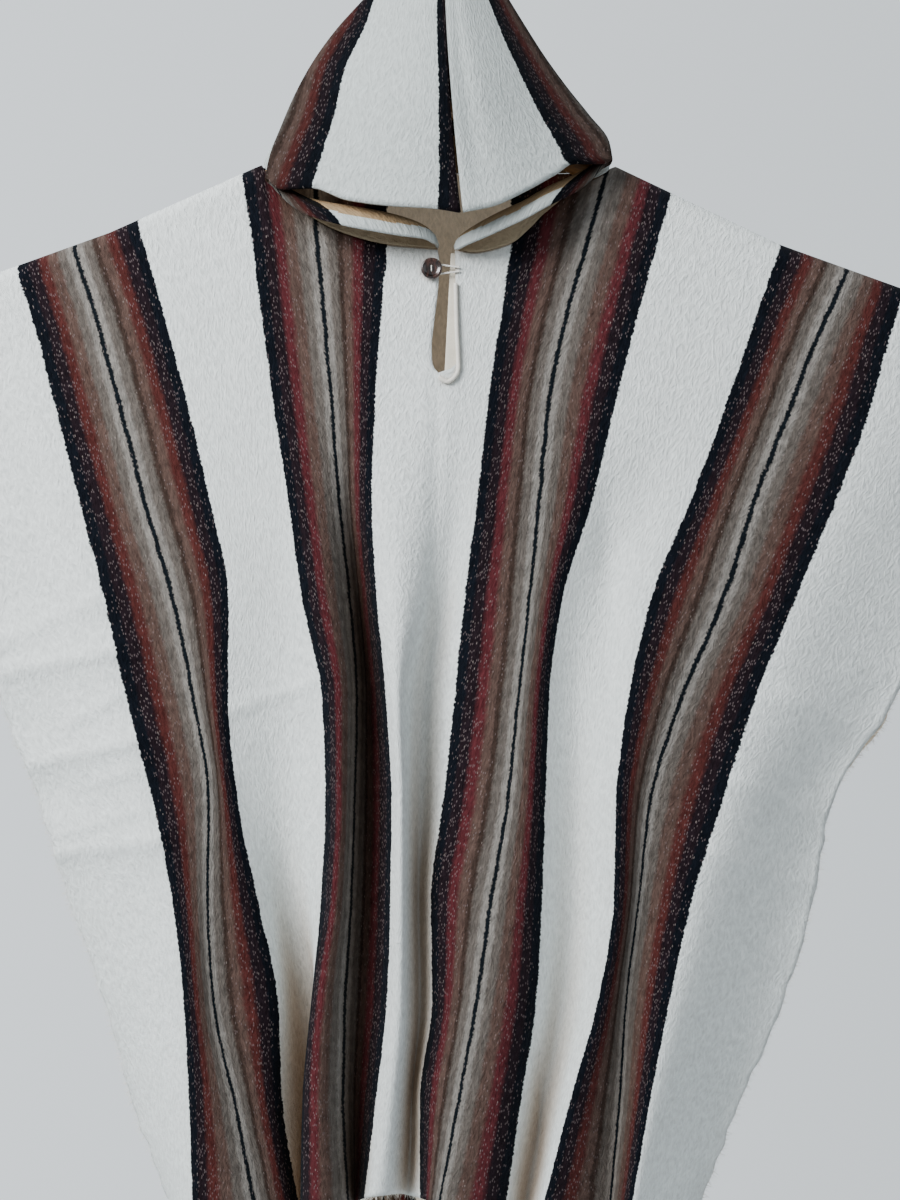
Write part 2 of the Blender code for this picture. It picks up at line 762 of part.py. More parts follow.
def tube(name, points, radius, look, resolution=3):
    """Round bar along world points (mm)."""
    curve = bpy.data.curves.new(name, "CURVE")
    curve.dimensions = "3D"
    curve.bevel_depth = radius * MM
    curve.bevel_resolution = resolution
    curve.use_fill_caps = True
    line = curve.splines.new("POLY")
    line.points.add(len(points) - 1)
    for point, place in zip(line.points, points):
        point.co = (*(np.asarray(place) * MM), 1.0)
    holder = bpy.data.objects.new(name + "_line", curve)
    PONCHO.objects.link(holder)
    bpy.context.view_layer.update()
    graph = bpy.context.evaluated_depsgraph_get()
    mesh = bpy.data.meshes.new_from_object(holder.evaluated_get(graph))
    bpy.data.objects.remove(holder)
    made = add_object(name, mesh, look)
    weld(made.data)
    return made


def weld(mesh):
    """Close the seams of a curve's mesh."""
    work = bmesh.new()
    work.from_mesh(mesh)
    bmesh.ops.remove_doubles(work, verts=work.verts, dist=WELD)
    bmesh.ops.recalc_face_normals(work, faces=work.faces)
    work.to_mesh(mesh)
    work.free()
    for face in mesh.polygons:
        face.use_smooth = True


def smooth_points(points, count):
    """Even points on a smooth line."""
    return [polyline_point(points, i / count) for i in range(count + 1)]


def build_binding(look):
    """Rolled binding along the slit's right edge and round its foot."""
    front = CLOTH / 2 + SEAM_GAP + BINDING_RADIUS + BINDING_STAND
    places = []
    for x, z in smooth_points(BINDING, BINDING_CELLS):
        places.append(placed(x, front_y(x, z) - front, z))
    return tube("slit_binding", places, BINDING_RADIUS, look, resolution=2)


def button_centre(stand_off):
    """World point over the cloth at the button's place."""
    x, z = BUTTON_PLACE
    centre = placed(x, front_y(x, z), z)
    centre[1] -= CLOTH / 2 + stand_off
    return centre


def turned(name, profile, segments, look, closed=False):
    """Solid of a profile of (radius, height) turned round the upright axis."""
    mesh = bpy.data.meshes.new(name)
    count = len(profile)
    edges = [(i, (i + 1) % count) for i in range(count if closed else count - 1)]
    mesh.from_pydata([(r * MM, 0.0, h * MM) for r, h in profile], edges, [])
    made = add_object(name, mesh, look)
    turn = made.modifiers.new("Turn", "SCREW")
    turn.steps = segments
    turn.render_steps = segments
    turn.use_merge_vertices = True
    turn.merge_threshold = WELD
    turn.use_normal_calculate = True
    weld(evaluated(made))
    return made


def build_button(look):
    """Turned button with a raised rim and two holes."""
    profile = [(BUTTON_RADIUS * across, BUTTON_THICK * up) for across, up in BUTTON_PROFILE]
    made = turned("button", profile, BUTTON_SEGMENTS, look)
    for step in (-1, 1):
        bpy.ops.mesh.primitive_cylinder_add(
            vertices=BUTTON_HOLE_SEGMENTS,
            radius=BUTTON_HOLE * MM,
            depth=3 * BUTTON_THICK * MM,
            location=(0.0, step * BUTTON_HOLE_STEP * MM, BUTTON_THICK / 2 * MM),
        )
        drill = bpy.context.object
        hole = made.modifiers.new("Hole", "BOOLEAN")
        hole.solver = "EXACT"
        hole.operation = "DIFFERENCE"
        hole.object = drill
        mesh = evaluated(made)
        bpy.data.objects.remove(drill)
    centre = button_centre(BUTTON_STAND) * MM
    for vert in mesh.vertices:
        x, y, z = vert.co
        vert.co = (centre[0] + x, centre[1] - z, centre[2] + y)
    weld(mesh)
    mesh.materials.clear()
    mesh.materials.append(look)
    return made


def build_thread(look):
    """Thread that goes through the button's two holes, from cloth to face and back."""
    back = button_centre(SEAM_GAP + THREAD["behind"])
    front = button_centre(BUTTON_STAND + BUTTON_THICK * THREAD["seat"] + THREAD["radius"] + THREAD["over"])
    step = BUTTON_HOLE_STEP
    bend = THREAD["bend"]
    places = [
        (back[0], back[1], back[2] - step),
        (back[0], front[1] + bend, back[2] - step),
        (back[0], front[1] + bend * 0.3, back[2] - step + bend * 0.3),
        (back[0], front[1], back[2] - step + bend),
        (back[0], front[1], back[2] + step - bend),
        (back[0], front[1] + bend * 0.3, back[2] + step - bend * 0.3),
        (back[0], front[1] + bend, back[2] + step),
        (back[0], back[1], back[2] + step),
    ]
    return tube("button_thread", places, THREAD["radius"], look, resolution=1)


def build_loop(look):
    """Cord loop from the slit's right edge round the button's thread."""
    x, z = BUTTON_PLACE
    centre = button_centre(SEAM_GAP + LOOP_RADIUS + LOOP_STAND)
    strand = []
    for i in range(LOOP_STRAND_CELLS):
        along = (LOOP_END_X - x) * (1 - i / LOOP_STRAND_CELLS)
        strand.append((along, LOOP_HALF * min(1.0, LOOP_SPREAD["start"] + LOOP_SPREAD["step"] * i)))
    turn = [math.pi / 2 + math.pi * i / LOOP_TURN_CELLS for i in range(LOOP_TURN_CELLS + 1)]
    offsets = strand + [(LOOP_HALF * math.cos(a), LOOP_HALF * math.sin(a)) for a in turn]
    offsets += [(dx, -dz) for dx, dz in reversed(strand)]
    places = []
    for dx, dz in offsets:
        forward = min(front_y(x + dx, z + dz) - front_y(x, z), 0.0)
        places.append(centre + np.array((dx, forward, dz)))
    return tube("button_loop", places, LOOP_RADIUS, look, resolution=2)


def build_arms(look):
    """Wooden arms that carry the shoulders."""
    places = []
    for i in range(-ARM_HALF_CELLS, ARM_HALF_CELLS + 1):
        x = ARM_REACH * i / ARM_HALF_CELLS
        z = min(shoulder_z(x), shoulder_z(0.0) - ARM_DIP) - SHOULDER_ROLL
        places.append(placed(x, 0.0, z))
    return tube("hanger_arms", places, ARM_RADIUS, look, resolution=4)


def build_hook(look):
    """Wire hook whose stem goes down through the hood's peak to the arms."""
    centre_z = -HOOK_RADIUS
    run = HOOK_RADIUS + WIRE_RADIUS
    places = []
    for i in range(HOOK_ARC["cells"] + 1):
        angle = math.radians(HOOK_ARC["start"] + HOOK_ARC["step"] * i)
        places.append((run * math.cos(angle), 0.0, centre_z + run * math.sin(angle)))
    last = places[-1]
    for share in HOOK_RETURN:
        places.append((last[0] * (1 - share), 0.0, last[2] + (STEM_TOP - last[2]) * share))
    foot = placed(0.0, 0.0, shoulder_z(0.0) - ARM_DIP - SHOULDER_ROLL)[2] + ARM_RADIUS + SEAM_GAP
    for z in (*STEM_HEIGHTS, foot):
        places.append((0.0, 0.0, z))
    return tube("hanger_hook", places, WIRE_RADIUS, look, resolution=2)


def build_collar(look):
    """Ring on the hook's stem that carries the hood's peak."""
    inner = WIRE_RADIUS + SEAM_GAP
    top = COLLAR["z"]
    foot = top - COLLAR["thick"]
    profile = (
        (inner, foot),
        (COLLAR["radius"], foot),
        (COLLAR["radius"] + COLLAR["swell"], top - COLLAR["thick"] * COLLAR["swell_at"]),
        (inner + COLLAR["top"], top),
        (inner, top),
    )
    return turned("peak_collar", profile, COLLAR["segments"], look, closed=True)


for old in list(bpy.data.objects):
    bpy.data.objects.remove(old)
PONCHO = bpy.data.collections.new("Poncho")
bpy.context.scene.collection.children.link(PONCHO)

WOOL = material("wool_cloth", (0.76, 0.74, 0.68))
TRIM = material("trim_cloth", (0.72, 0.69, 0.60))
CORD = material("loop_cord", (0.85, 0.84, 0.80))
HORN = material("button_horn", (0.03, 0.02, 0.015), 0.3)
WOOD = material("hanger_wood", (0.42, 0.26, 0.13), 0.5)
WIRE = material("hook_wire", (0.6, 0.6, 0.6), 0.35, 1.0)

build_front(WOOL)
build_back(WOOL)
build_hood("left", WOOL)
build_hood("right", WOOL)
build_facing(TRIM)
build_binding(TRIM)
build_button(HORN)
build_thread(CORD)
build_loop(CORD)
build_arms(WOOD)
build_hook(WIRE)
build_collar(WIRE)
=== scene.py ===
"""Hooded wool poncho on a clothes hanger: striped cloth, slit trim, button, stitching and studio.

World: metres, +Z up, +X to the viewer's right, the front of the poncho faces -Y.
Tables are in millimetres. The sections are read on an upright plane, as Drape.placed says.
"""

import logging
import math
from dataclasses import dataclass, field
from enum import Enum

import bmesh
import bpy
import numpy as np
from bpy.types import NodeOutputs, NodeSocket
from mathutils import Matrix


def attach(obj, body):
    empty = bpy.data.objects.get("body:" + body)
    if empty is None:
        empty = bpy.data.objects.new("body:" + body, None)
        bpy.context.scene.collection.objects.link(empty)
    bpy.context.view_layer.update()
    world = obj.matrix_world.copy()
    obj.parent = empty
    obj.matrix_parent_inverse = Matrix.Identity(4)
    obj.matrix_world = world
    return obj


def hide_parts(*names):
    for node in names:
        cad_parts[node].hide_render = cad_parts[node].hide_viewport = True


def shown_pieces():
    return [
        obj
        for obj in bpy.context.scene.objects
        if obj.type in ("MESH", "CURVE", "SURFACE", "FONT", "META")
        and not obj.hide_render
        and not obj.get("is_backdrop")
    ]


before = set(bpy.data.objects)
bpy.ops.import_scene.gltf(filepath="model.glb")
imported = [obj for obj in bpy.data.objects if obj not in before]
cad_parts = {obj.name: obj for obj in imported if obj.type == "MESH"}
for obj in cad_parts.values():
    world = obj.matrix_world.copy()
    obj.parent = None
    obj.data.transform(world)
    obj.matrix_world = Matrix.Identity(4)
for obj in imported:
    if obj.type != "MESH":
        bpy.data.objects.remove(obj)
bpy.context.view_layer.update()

LOG = logging.getLogger("poncho")
MM = 0.001
MATH = "ShaderNodeMath"
NOISE = "ShaderNodeTexNoise"
MAP_RANGE = "ShaderNodeMapRange"
MIX = "ShaderNodeMix"
BUMP = "ShaderNodeBump"
SURFACE = "ShaderNodeBsdfPrincipled"
PRODUCT = {"data_type": "RGBA", "blend_type": "MULTIPLY"}
BODY = "root"

Table = tuple[tuple[float, ...], ...]
Colour = tuple[float, float, float, float]


class Side(Enum):
    """Side of the poncho, as the viewer sees it."""

    LEFT = -1
    RIGHT = 1

    @property
    def word(self) -> str:
        """Name used in the nodes of the frame."""
        return self.name.lower()


class Panel(Enum):
    """Body piece that a neck point lies on."""

    FRONT = "front"
    BACK = "back"


def rgb(code: str) -> Colour:
    """Linear colour of an sRGB hex code.

    Args:
        code: Six hex digits.

    Returns:
        Red, green, blue and alpha.
    """
    parts = [int(code[i : i + 2], 16) / 255 for i in (0, 2, 4)]
    red, green, blue = [p / 12.92 if p <= 0.04045 else ((p + 0.055) / 1.055) ** 2.4 for p in parts]
    return (red, green, blue, 1.0)


def eased(value: np.ndarray | float) -> np.ndarray:
    """Smooth step from 0 to 1."""
    value = np.clip(value, 0.0, 1.0)
    return value * value * (3 - 2 * value)


def pchip(knots: np.ndarray, values: np.ndarray, at: np.ndarray) -> np.ndarray:
    """Smooth curve through knots that never overshoots, straight beyond both ends.

    Args:
        knots: Places of the knots, rising.
        values: Value at each knot.
        at: Places to evaluate.

    Returns:
        Value at each place.
    """
    knots = np.asarray(knots, float)
    values = np.asarray(values, float)
    at = np.atleast_1d(np.asarray(at, float))
    step = np.diff(knots)
    slope = np.diff(values) / step
    tangent = np.zeros_like(values)
    for i in range(1, len(knots) - 1):
        if slope[i - 1] * slope[i] > 0:
            before = 2 * step[i] + step[i - 1]
            after = step[i] + 2 * step[i - 1]
            tangent[i] = (before + after) / (before / slope[i - 1] + after / slope[i])
    tangent[0] = slope[0]
    tangent[-1] = slope[-1]
    cell = np.clip(np.searchsorted(knots, at) - 1, 0, len(step) - 1)
    width = step[cell]
    share = (at - knots[cell]) / width
    t = np.clip(share, 0, 1)
    result = values[cell] * (2 * t**3 - 3 * t**2 + 1)
    result = result + width * tangent[cell] * (t**3 - 2 * t**2 + t)
    result = result + values[cell + 1] * (3 * t**2 - 2 * t**3)
    result = result + width * tangent[cell + 1] * (t**3 - t**2)
    result = result + np.where(share < 0, share * width * tangent[cell], 0.0)
    return result + np.where(share > 1, (share - 1) * width * tangent[cell + 1], 0.0)


def read_off(table: Table, at: np.ndarray | float, column: int = 1) -> np.ndarray:
    """Smooth value of a table's column at places along its first column."""
    rows = sorted(table, key=lambda row: row[0])
    return pchip([row[0] for row in rows], [row[column] for row in rows], at)


def along_line(points: Table, share: np.ndarray | float) -> np.ndarray:
    """Points at shares of the length of a smooth line.

    Args:
        points: Points of the line.
        share: Shares of its length, 0 to 1.

    Returns:
        One row for each share.
    """
    line = np.asarray(points, float)
    run = np.concatenate(([0.0], np.cumsum(np.linalg.norm(np.diff(line, axis=0), axis=1))))
    at = run[-1] * np.atleast_1d(share)
    return np.stack([pchip(run, line[:, k], at) for k in range(line.shape[1])], axis=1)


def cubic(a: np.ndarray, b: np.ndarray, c: np.ndarray, d: np.ndarray, t: np.ndarray) -> np.ndarray:
    """Points of a cubic between four points, one row for each t."""
    t = np.atleast_1d(t)[:, None]
    s = 1 - t
    return a * s**3 + b * 3 * s * s * t + c * 3 * s * t * t + d * t**3


@dataclass(frozen=True)
class Ripples:
    """Smooth uneven relief, the same in every run."""

    seed: int
    cell: float
    size: int = 97

    def at(self, a: np.ndarray, b: np.ndarray) -> np.ndarray:
        """Relief from -1 to 1.

        Args:
            a: First coordinate in mm.
            b: Second coordinate in mm.

        Returns:
            Relief at each point.
        """
        grid = np.random.default_rng(self.seed).uniform(-1, 1, (self.size, self.size))
        p = np.asarray(a, float) / self.cell + 1000.0
        q = np.asarray(b, float) / self.cell + 1000.0
        i = np.floor(p).astype(int)
        j = np.floor(q).astype(int)
        f = eased(p - i)
        g = eased(q - j)
        i0, j0 = i % self.size, j % self.size
        i1, j1 = (i + 1) % self.size, (j + 1) % self.size
        low = grid[i0, j0] * (1 - f) + grid[i1, j0] * f
        high = grid[i0, j1] * (1 - f) + grid[i1, j1] * f
        return low * (1 - g) + high * g


@dataclass(frozen=True)
class Crease:
    """Storage crease or soft channel on the seen cloth, in picture millimetres."""

    start: tuple[float, float]
    end: tuple[float, float]
    height: float
    half_width: float
    facet: float = 0.0
    facet_width: float = 30.0

    def relief(self, x: np.ndarray, z: np.ndarray) -> np.ndarray:
        """Height of the crease at points of the picture plane."""
        run = np.subtract(self.end, self.start)
        length = float(np.hypot(*run))
        share = ((x - self.start[0]) * run[0] + (z - self.start[1]) * run[1]) / length**2
        near = np.clip(share, 0, 1)
        away = np.hypot(x - self.start[0] - run[0] * near, z - self.start[1] - run[1] * near)
        fade = eased(1.25 - 0.5 * np.abs(2 * near - 1))
        sharp = self.height * np.exp(-((away / self.half_width) ** 2))
        broad = self.facet * np.exp(-np.abs(away / self.facet_width) ** 1.4)
        return (sharp + broad) * fade


@dataclass(frozen=True)
class Drape:
    """Cut of the poncho and the way it hangs, in mm.

    Trim stays cloth_room off the cloth's middle sheet, a little over half its thickness.
    """

    cloth: float = 2.3
    cloth_room: float = 1.25
    seam_gap: float = 0.3
    seam_half: float = 0.15
    seam_clear: float = 0.3
    neck_ease: float = 0.25
    neck_step: float = 1.0
    neck_sidestep: float = 1.8
    viewer: float = 1300.0
    plane_y: float = -30.0
    eye_z: float = -693.0
    bend: float = 300.0
    roll: float = 14.0
    fade: float = 70.0
    half_width: float = 510.0
    hem_middle: float = -1227.0
    hem_drop: float = 73.0
    hem_power: float = 1.3
    back_hem_drop: float = 6.0
    back_draw_in: float = 0.03
    back_sag: float = 7.0
    peep_reach: float = 14.0
    peep_z: float = -810.0
    peep_half: float = 60.0
    front_stand: float = 85.0
    back_stand: float = 60.0
    edge_stand: float = 15.0
    edge_turn: float = 110.0
    stand_length: float = 870.0
    slit_spread: float = 60.0
    slit_end: float = 0.1306
    slit_foot: float = 9.0
    left_shoulder: tuple[float, float, float] = (-230.0, 0.445, 0.36)
    right_shoulder: tuple[float, float, float] = (-232.0, 0.475, 0.36)
    neck_lines: dict[Side, float] = field(default_factory=lambda: {Side.LEFT: -161.0, Side.RIGHT: 122.0})
    neckline: Table = (
        (-163, -302.5),
        (-161.5, -309),
        (-158, -316),
        (-152, -323),
        (-120, -349),
        (-90, -364),
        (-50, -374),
        (0, -378),
        (21, -381),
        (59, -373),
        (78, -358),
        (92, -344),
        (125, -321),
        (140, -315),
        (147, -310),
        (150, -303.3),
    )
    slit: Table = (
        # z, left x, right x
        (-370, -8, 9),
        (-390, -5, 9),
        (-410, -6, 9.5),
        (-445, -10, 10),
        (-465, -12, 11),
        (-490, -11, 11),
    )
    warp: tuple[float, ...] = (
        -510, -403, -342, -281, -245, -213, -177, -116, -55, 0, 55, 116, 177, 229, 281, 342, 403, 510,
    )
    tops: tuple[float, ...] = (
        -495, -381, -329, -273, -241, -212, -180, -114, -50, 0, 61, 144, 204, 252, 301, 359, 410, 507,
    )
    hangs: Table = (
        # height, then how far to the side each warp line hangs there
        (-513, -472, -351, -291, -231, -204, -181, -154, -100, -61, -7, 40, 94, 156, 205, 255, 313, 387, 489),
        (-603, -447, -328, -268, -210, -186, -164, -140, -94, -64, -9, 30, 85, 134, 178, 222, 279, 354, 462),
        (-693, -418, -305, -242, -193, -170, -150, -127, -85, -59, -15, 19, 76, 106, 145, 186, 250, 317, 435),
        (-783, -398, -285, -224, -194, -165, -138, -109, -79, -51, -30, 10, 66, 94, 129, 166, 212, 281, 405),
        (-873, -366, -262, -211, -186, -158, -134, -106, -81, -46, -31, 0, 57, 91, 124, 155, 185, 252, 348),
        (-963, -339, -244, -212, -168, -148, -128, -110, -84, -47, -31, -11, 42, 88, 121, 153, 174, 224, 330),
        (-1053, -308, -234, -207, -150, -133, -114, -119, -89, -50, -30, -10, 29, 83, 112, 139, 163, 204, 303),
        (-1143, -281, -229, -188, -146, -124, -105, -127, -91, -60, -36, -21, 13, 69, 94, 114, 157, 186, 266),
        (-1233, -249, -226, -170, -132, -113, -100, -129, -87, -71, -42, -21, -4, 56, 77, 91, 149, 170, 230),
    )
    front_folds: Table = (
        # warp line, half width, start, full height, relief when full, relief at the hem
        (-385, 50, -700, -1100, 10, 15),
        (-335, 30, -700, -1100, -5, -6),
        (-229, 48, -620, -1150, -60, -66),
        (-150, 34, -480, -800, 20, 33),
        (-100, 30, -480, -760, -34, -30),
        (-32, 28, -500, -800, 24, 12),
        (22, 30, -490, -800, -24, -26),
        (140, 60, -520, -1000, 16, 18),
        (215, 42, -500, -700, -16, -32),
        (285, 40, -600, -900, 16, 18),
        (342, 30, -900, -1150, -12, -14),
        (405, 45, -800, -1100, 12, 15),
    )
    back_folds: Table = (
        (-300, 60, -600, -1000, 18, 26),
        (-170, 50, -600, -1000, -14, -22),
        (-40, 55, -560, -1000, 16, 24),
        (90, 50, -620, -1050, -12, -20),
        (220, 60, -600, -1000, 16, 24),
        (370, 50, -700, -1050, -8, -12),
    )
    creases: tuple[Crease, ...] = (
        Crease((-404, -733), (-303, -688), 1.4, 6, 4.0),
        Crease((-400, -759), (-293, -738), 2.8, 5, 7.0, 22.0),
        Crease((-338, -804), (-291, -777), 2.0, 5, 3.0),
        Crease((-373, -841), (-274, -819), 3.0, 5, 7.0, 22.0),
        Crease((-312, -857), (-274, -844), 2.0, 5, 3.0),
        Crease((-358, -907), (-279, -883), 1.6, 6, 4.0),
        Crease((-355, -922), (-254, -909), 3.0, 5, 7.0, 22.0),
        Crease((308, -779), (380, -814), 2.4, 5, 6.0, 24.0),
        Crease((263, -855), (340, -886), 2.6, 5, 6.0, 24.0),
        Crease((242, -919), (328, -951), 2.4, 5, 6.0, 24.0),
        Crease((-195, -793), (-112, -765), 2.2, 5, 3.0),
        Crease((-74, -770), (-52, -758), 2.2, 5),
        Crease((-27, -1170), (-40, -1233), -2.0, 6),
        Crease((146, -600), (150, -837), -4.0, 14),
        Crease((80, -1053), (88, -1233), -2.5, 6),
        Crease((-7, -500), (-12, -700), -2.2, 6),
    )
    back_creases: tuple[Crease, ...] = (
        Crease((-410, -700), (-290, -730), 1.6, 6, 4.5),
        Crease((-380, -860), (-250, -880), 1.6, 6, 4.5),
        Crease((290, -690), (400, -660), 1.6, 6, 4.5),
        Crease((250, -850), (350, -810), 1.6, 6, 4.5),
        Crease((-90, -760), (70, -745), 1.4, 6, 3.5),
    )
    broad: Ripples = Ripples(11, 95.0)
    middling: Ripples = Ripples(12, 33.0)
    ragged: Ripples = Ripples(13, 13.0)

    def shoulder_z(self, x: np.ndarray | float) -> np.ndarray:
        """Height of the shoulder line, carried on over the neck."""
        x = np.asarray(x, float)
        left = x < 0
        middle = np.where(left, self.left_shoulder[0], self.right_shoulder[0])
        inner = np.where(left, self.left_shoulder[1], self.right_shoulder[1])
        outer = np.where(left, self.left_shoulder[2], self.right_shoulder[2])
        near = np.minimum(np.abs(x), self.bend)
        return middle - inner * near - outer * np.maximum(np.abs(x) - self.bend, 0.0)

    def placed(self, x: np.ndarray, y: np.ndarray, z: np.ndarray, rolled: bool = False) -> np.ndarray:
        """World points of section points.

        Args:
            x: Distance to the side as seen on the section plane.
            y: Real depth.
            z: Height as seen on the section plane.
            rolled: Keeps the roll over the hanger round; the depth counts only further down.

        Returns:
            One row of x, y and z for each point, in mm.
        """
        x, y, z = np.broadcast_arrays(np.asarray(x, float), np.asarray(y, float), np.asarray(z, float))
        seen = y * eased((self.shoulder_z(x) - z) / self.fade) if rolled else y
        spread = 1 + (seen - self.plane_y) / self.viewer
        return np.stack((x * spread, y, self.eye_z + (z - self.eye_z) * spread), axis=-1)

    def front_top(self, x: float) -> float:
        """Height of the front piece's upper edge."""
        if self.neckline[0][0] < x < self.neckline[-1][0]:
            return float(read_off(self.neckline, x)[0])
        return float(self.shoulder_z(x))

    def back_top(self, x: float) -> float:
        """Height of the back piece's upper edge."""
        left, right = self.neckline[0], self.neckline[-1]
        if left[0] < x < right[0]:
            part = (x - left[0]) / (right[0] - left[0])
            return left[1] + (right[1] - left[1]) * part - self.back_sag * math.sin(math.pi * part)
        return float(self.shoulder_z(x))

    def folds(self, table: Table, u: float, z: np.ndarray, hem: float) -> np.ndarray:
        """Relief of the large folds on one warp line."""
        total = np.zeros_like(z)
        for centre, half_width, start, full_z, full, at_hem in table:
            low = full + (at_hem - full) * eased((full_z - z) / max(full_z - hem, 1.0))
            high = full * eased((start - z) / (start - full_z))
            total += np.where(z <= full_z, low, high) * math.exp(-(((u - centre) / half_width) ** 2))
        return total

    def stand(self, u: float, x: np.ndarray, z: np.ndarray, low: float) -> np.ndarray:
        """How far the hanging cloth stands off the middle plane without its folds."""
        down = np.maximum(self.shoulder_z(x) - z, 0.0)
        roll = np.sqrt(self.roll**2 - (self.roll - np.minimum(down, self.roll)) ** 2)
        edge = eased((self.half_width - abs(u)) / self.edge_turn)
        ease = 1 - (1 - np.minimum(down / self.stand_length, 1.0)) ** 1.6
        return roll + (self.edge_stand + (low - self.edge_stand) * edge - self.roll) * ease

    def hem_z(self, u: float) -> float:
        """Height of the hem at a warp line."""
        return self.hem_middle - self.hem_drop * (abs(u) / self.half_width) ** self.hem_power

    def hang_x(self, u: float, z: np.ndarray, z_top: float, x_top: float) -> np.ndarray:
        """How far to the side a warp line hangs at each height."""
        heights, places = [-z_top], [x_top]
        for row in self.hangs:
            if z_top - row[0] > 40:
                heights.append(-row[0])
                places.append(float(pchip(self.warp, row[1:], u)[0]))
        return pchip(heights, places, -z)

    def unevenness(self, u: float, z: np.ndarray, row: np.ndarray) -> np.ndarray:
        """Small relief all over the cloth, none at its upper edge."""
        calm = eased((row - 0.012) / 0.08)
        edge = float(eased((abs(u) - 440) / 60))
        relief = 1.1 * self.broad.at(u, z) + 0.35 * self.middling.at(u, z)
        return calm * (relief + edge * 3.0 * self.middling.at(u * 0.5, z))

    def ragged_x(self, u: float, z: np.ndarray) -> np.ndarray:
        """Uneven raw side edges: how far to the side the cloth is pulled."""
        edge = float(eased((abs(u) - 470) / 40))
        return edge * (1.6 * self.ragged.at(z, z * 0) + 2.4 * self.middling.at(z, z * 0 + 50.0))

    def front_column(self, u: float, rows: np.ndarray, side: Side) -> np.ndarray:
        """Section points of the front piece down one warp line.

        Args:
            u: Distance of the warp line from the middle of the cut.
            rows: Shares of the way down, 0 to 1.
            side: Side of the slit that a point above its end belongs to.

        Returns:
            One row of x, y and z for each row.
        """
        x_top = float(pchip(self.warp, self.tops, u)[0])
        z_top = self.front_top(x_top)
        hem = self.hem_z(u)
        z = z_top + (hem - z_top) * rows
        x = self.hang_x(u, z, z_top, x_top)
        if abs(u) < self.slit_spread:
            middle = self.hang_x(0.0, z, self.front_top(0.0), 0.0)
            edge = read_off(self.slit, z, 1 if side is Side.LEFT else 2)
            end = z_top + (hem - z_top) * self.slit_end
            foot = np.sqrt(np.clip((z - end) / self.slit_foot, 0, 1))
            x = x + (edge - middle) * foot * (1 - abs(u) / self.slit_spread) ** 2
        relief = self.stand(u, x, z, self.front_stand) + self.folds(self.front_folds, u, z, hem)
        relief = relief + sum(crease.relief(x, z) for crease in self.creases) + self.unevenness(u, z, rows)
        return np.stack((x + self.ragged_x(u, z), -relief, z), axis=-1)

    def back_column(self, u: float, rows: np.ndarray) -> np.ndarray:
        """Section points of the back piece down one warp line."""
        x_top = float(pchip(self.warp, self.tops, u)[0])
        z_top = self.back_top(x_top)
        hem = self.hem_z(u)
        z = z_top + (hem - self.back_hem_drop - z_top) * rows
        edge_line = math.copysign(self.half_width, u if u else 1.0)
        edge_top = self.tops[0] if u < 0 else self.tops[-1]
        edge_z = float(self.shoulder_z(edge_top))
        edge = self.hang_x(edge_line, np.minimum(z, edge_z), edge_z, edge_top)
        reach = self.peep_reach if u > 0 else 0.0
        peep = reach * np.exp(-(((z - self.peep_z) / self.peep_half) ** 2))
        blend = eased(rows * 3.0)
        share = x_top / edge_top + (u / edge_line - x_top / edge_top) * blend
        x = (edge * (1 - self.back_draw_in * blend) + peep) * share
        relief = self.stand(u, x, z, self.back_stand) + self.folds(self.back_folds, u, z, hem)
        relief = relief + sum(crease.relief(x, z) for crease in self.back_creases)
        relief = relief + self.unevenness(u + 2000.0, z, rows)
        return np.stack((x + self.ragged_x(u, z + 400.0), relief, z), axis=-1)

    def front_y(self, x: float, z: float) -> float:
        """Depth of the front piece's middle sheet near the slit."""
        at = np.array([z])
        stand = self.stand(x, np.array([x]), at, self.front_stand)
        return -float((stand + self.folds(self.front_folds, x, at, self.hem_middle))[0])

    def neck_point(self, u: float, panel: Panel, side: Side) -> np.ndarray:
        """Foot of the hood at a warp line, lifted off the body's edge, in world mm."""
        top = np.array([0.0])
        seat = self.front_column(u, top, side) if panel is Panel.FRONT else self.back_column(u, top)
        x, y, z = seat[0]
        low = self.front_stand if panel is Panel.FRONT else self.back_stand
        heights = np.array([z - 1.0, z])
        below, here = self.stand(0.0, np.array([x, x]), heights, low)
        share = abs(below - here) / math.hypot(below - here, 1.0)
        foot = self.placed(x, y, z, True)
        foot[2] += self.seam_gap + self.neck_ease + (self.cloth_room + self.neck_step) * share
        if panel is Panel.FRONT:
            rise = float(read_off(self.neckline, x + 1.0)[0] - read_off(self.neckline, x - 1.0)[0])
            steep = abs(rise) / math.hypot(rise, 2.0)
            foot[0] -= math.copysign(self.neck_sidestep * float(eased((steep - 0.6) / 0.25)), x)
        return foot


class Graph:
    """Node tree that is filled node by node."""

    def __init__(self, tree: bpy.types.NodeTree) -> None:
        """Keep the tree."""
        self.tree = tree

    def add(self, kind: str, inputs: dict | None = None, **settings: object) -> bpy.types.Node:
        """Add a node.

        Args:
            kind: Node type.
            inputs: Socket name or number, and the value or the socket that feeds it.
            settings: Properties of the node.

        Returns:
            The node.
        """
        node = self.tree.nodes.new(kind)
        for name, value in settings.items():
            setattr(node, name, value)
        for name, value in (inputs or {}).items():
            if isinstance(value, NodeSocket):
                self.tree.links.new(value, node.inputs[name])
            else:
                node.inputs[name].default_value = value
        return node


def new_material(name: str) -> tuple[bpy.types.Material, Graph]:
    """Empty node material and its graph."""
    made = bpy.data.materials.new(name)
    made.use_nodes = True
    made.node_tree.nodes.clear()
    return made, Graph(made.node_tree)


def close_material(graph: Graph, shader: bpy.types.Node) -> None:
    """Join the shader to the material's output."""
    graph.add("ShaderNodeOutputMaterial", {"Surface": shader.outputs[0]})


@dataclass(frozen=True)
class Stripe:
    """Stop of a stripe group: place from 0 to 1 across the group, and colour."""

    place: float
    colour: str


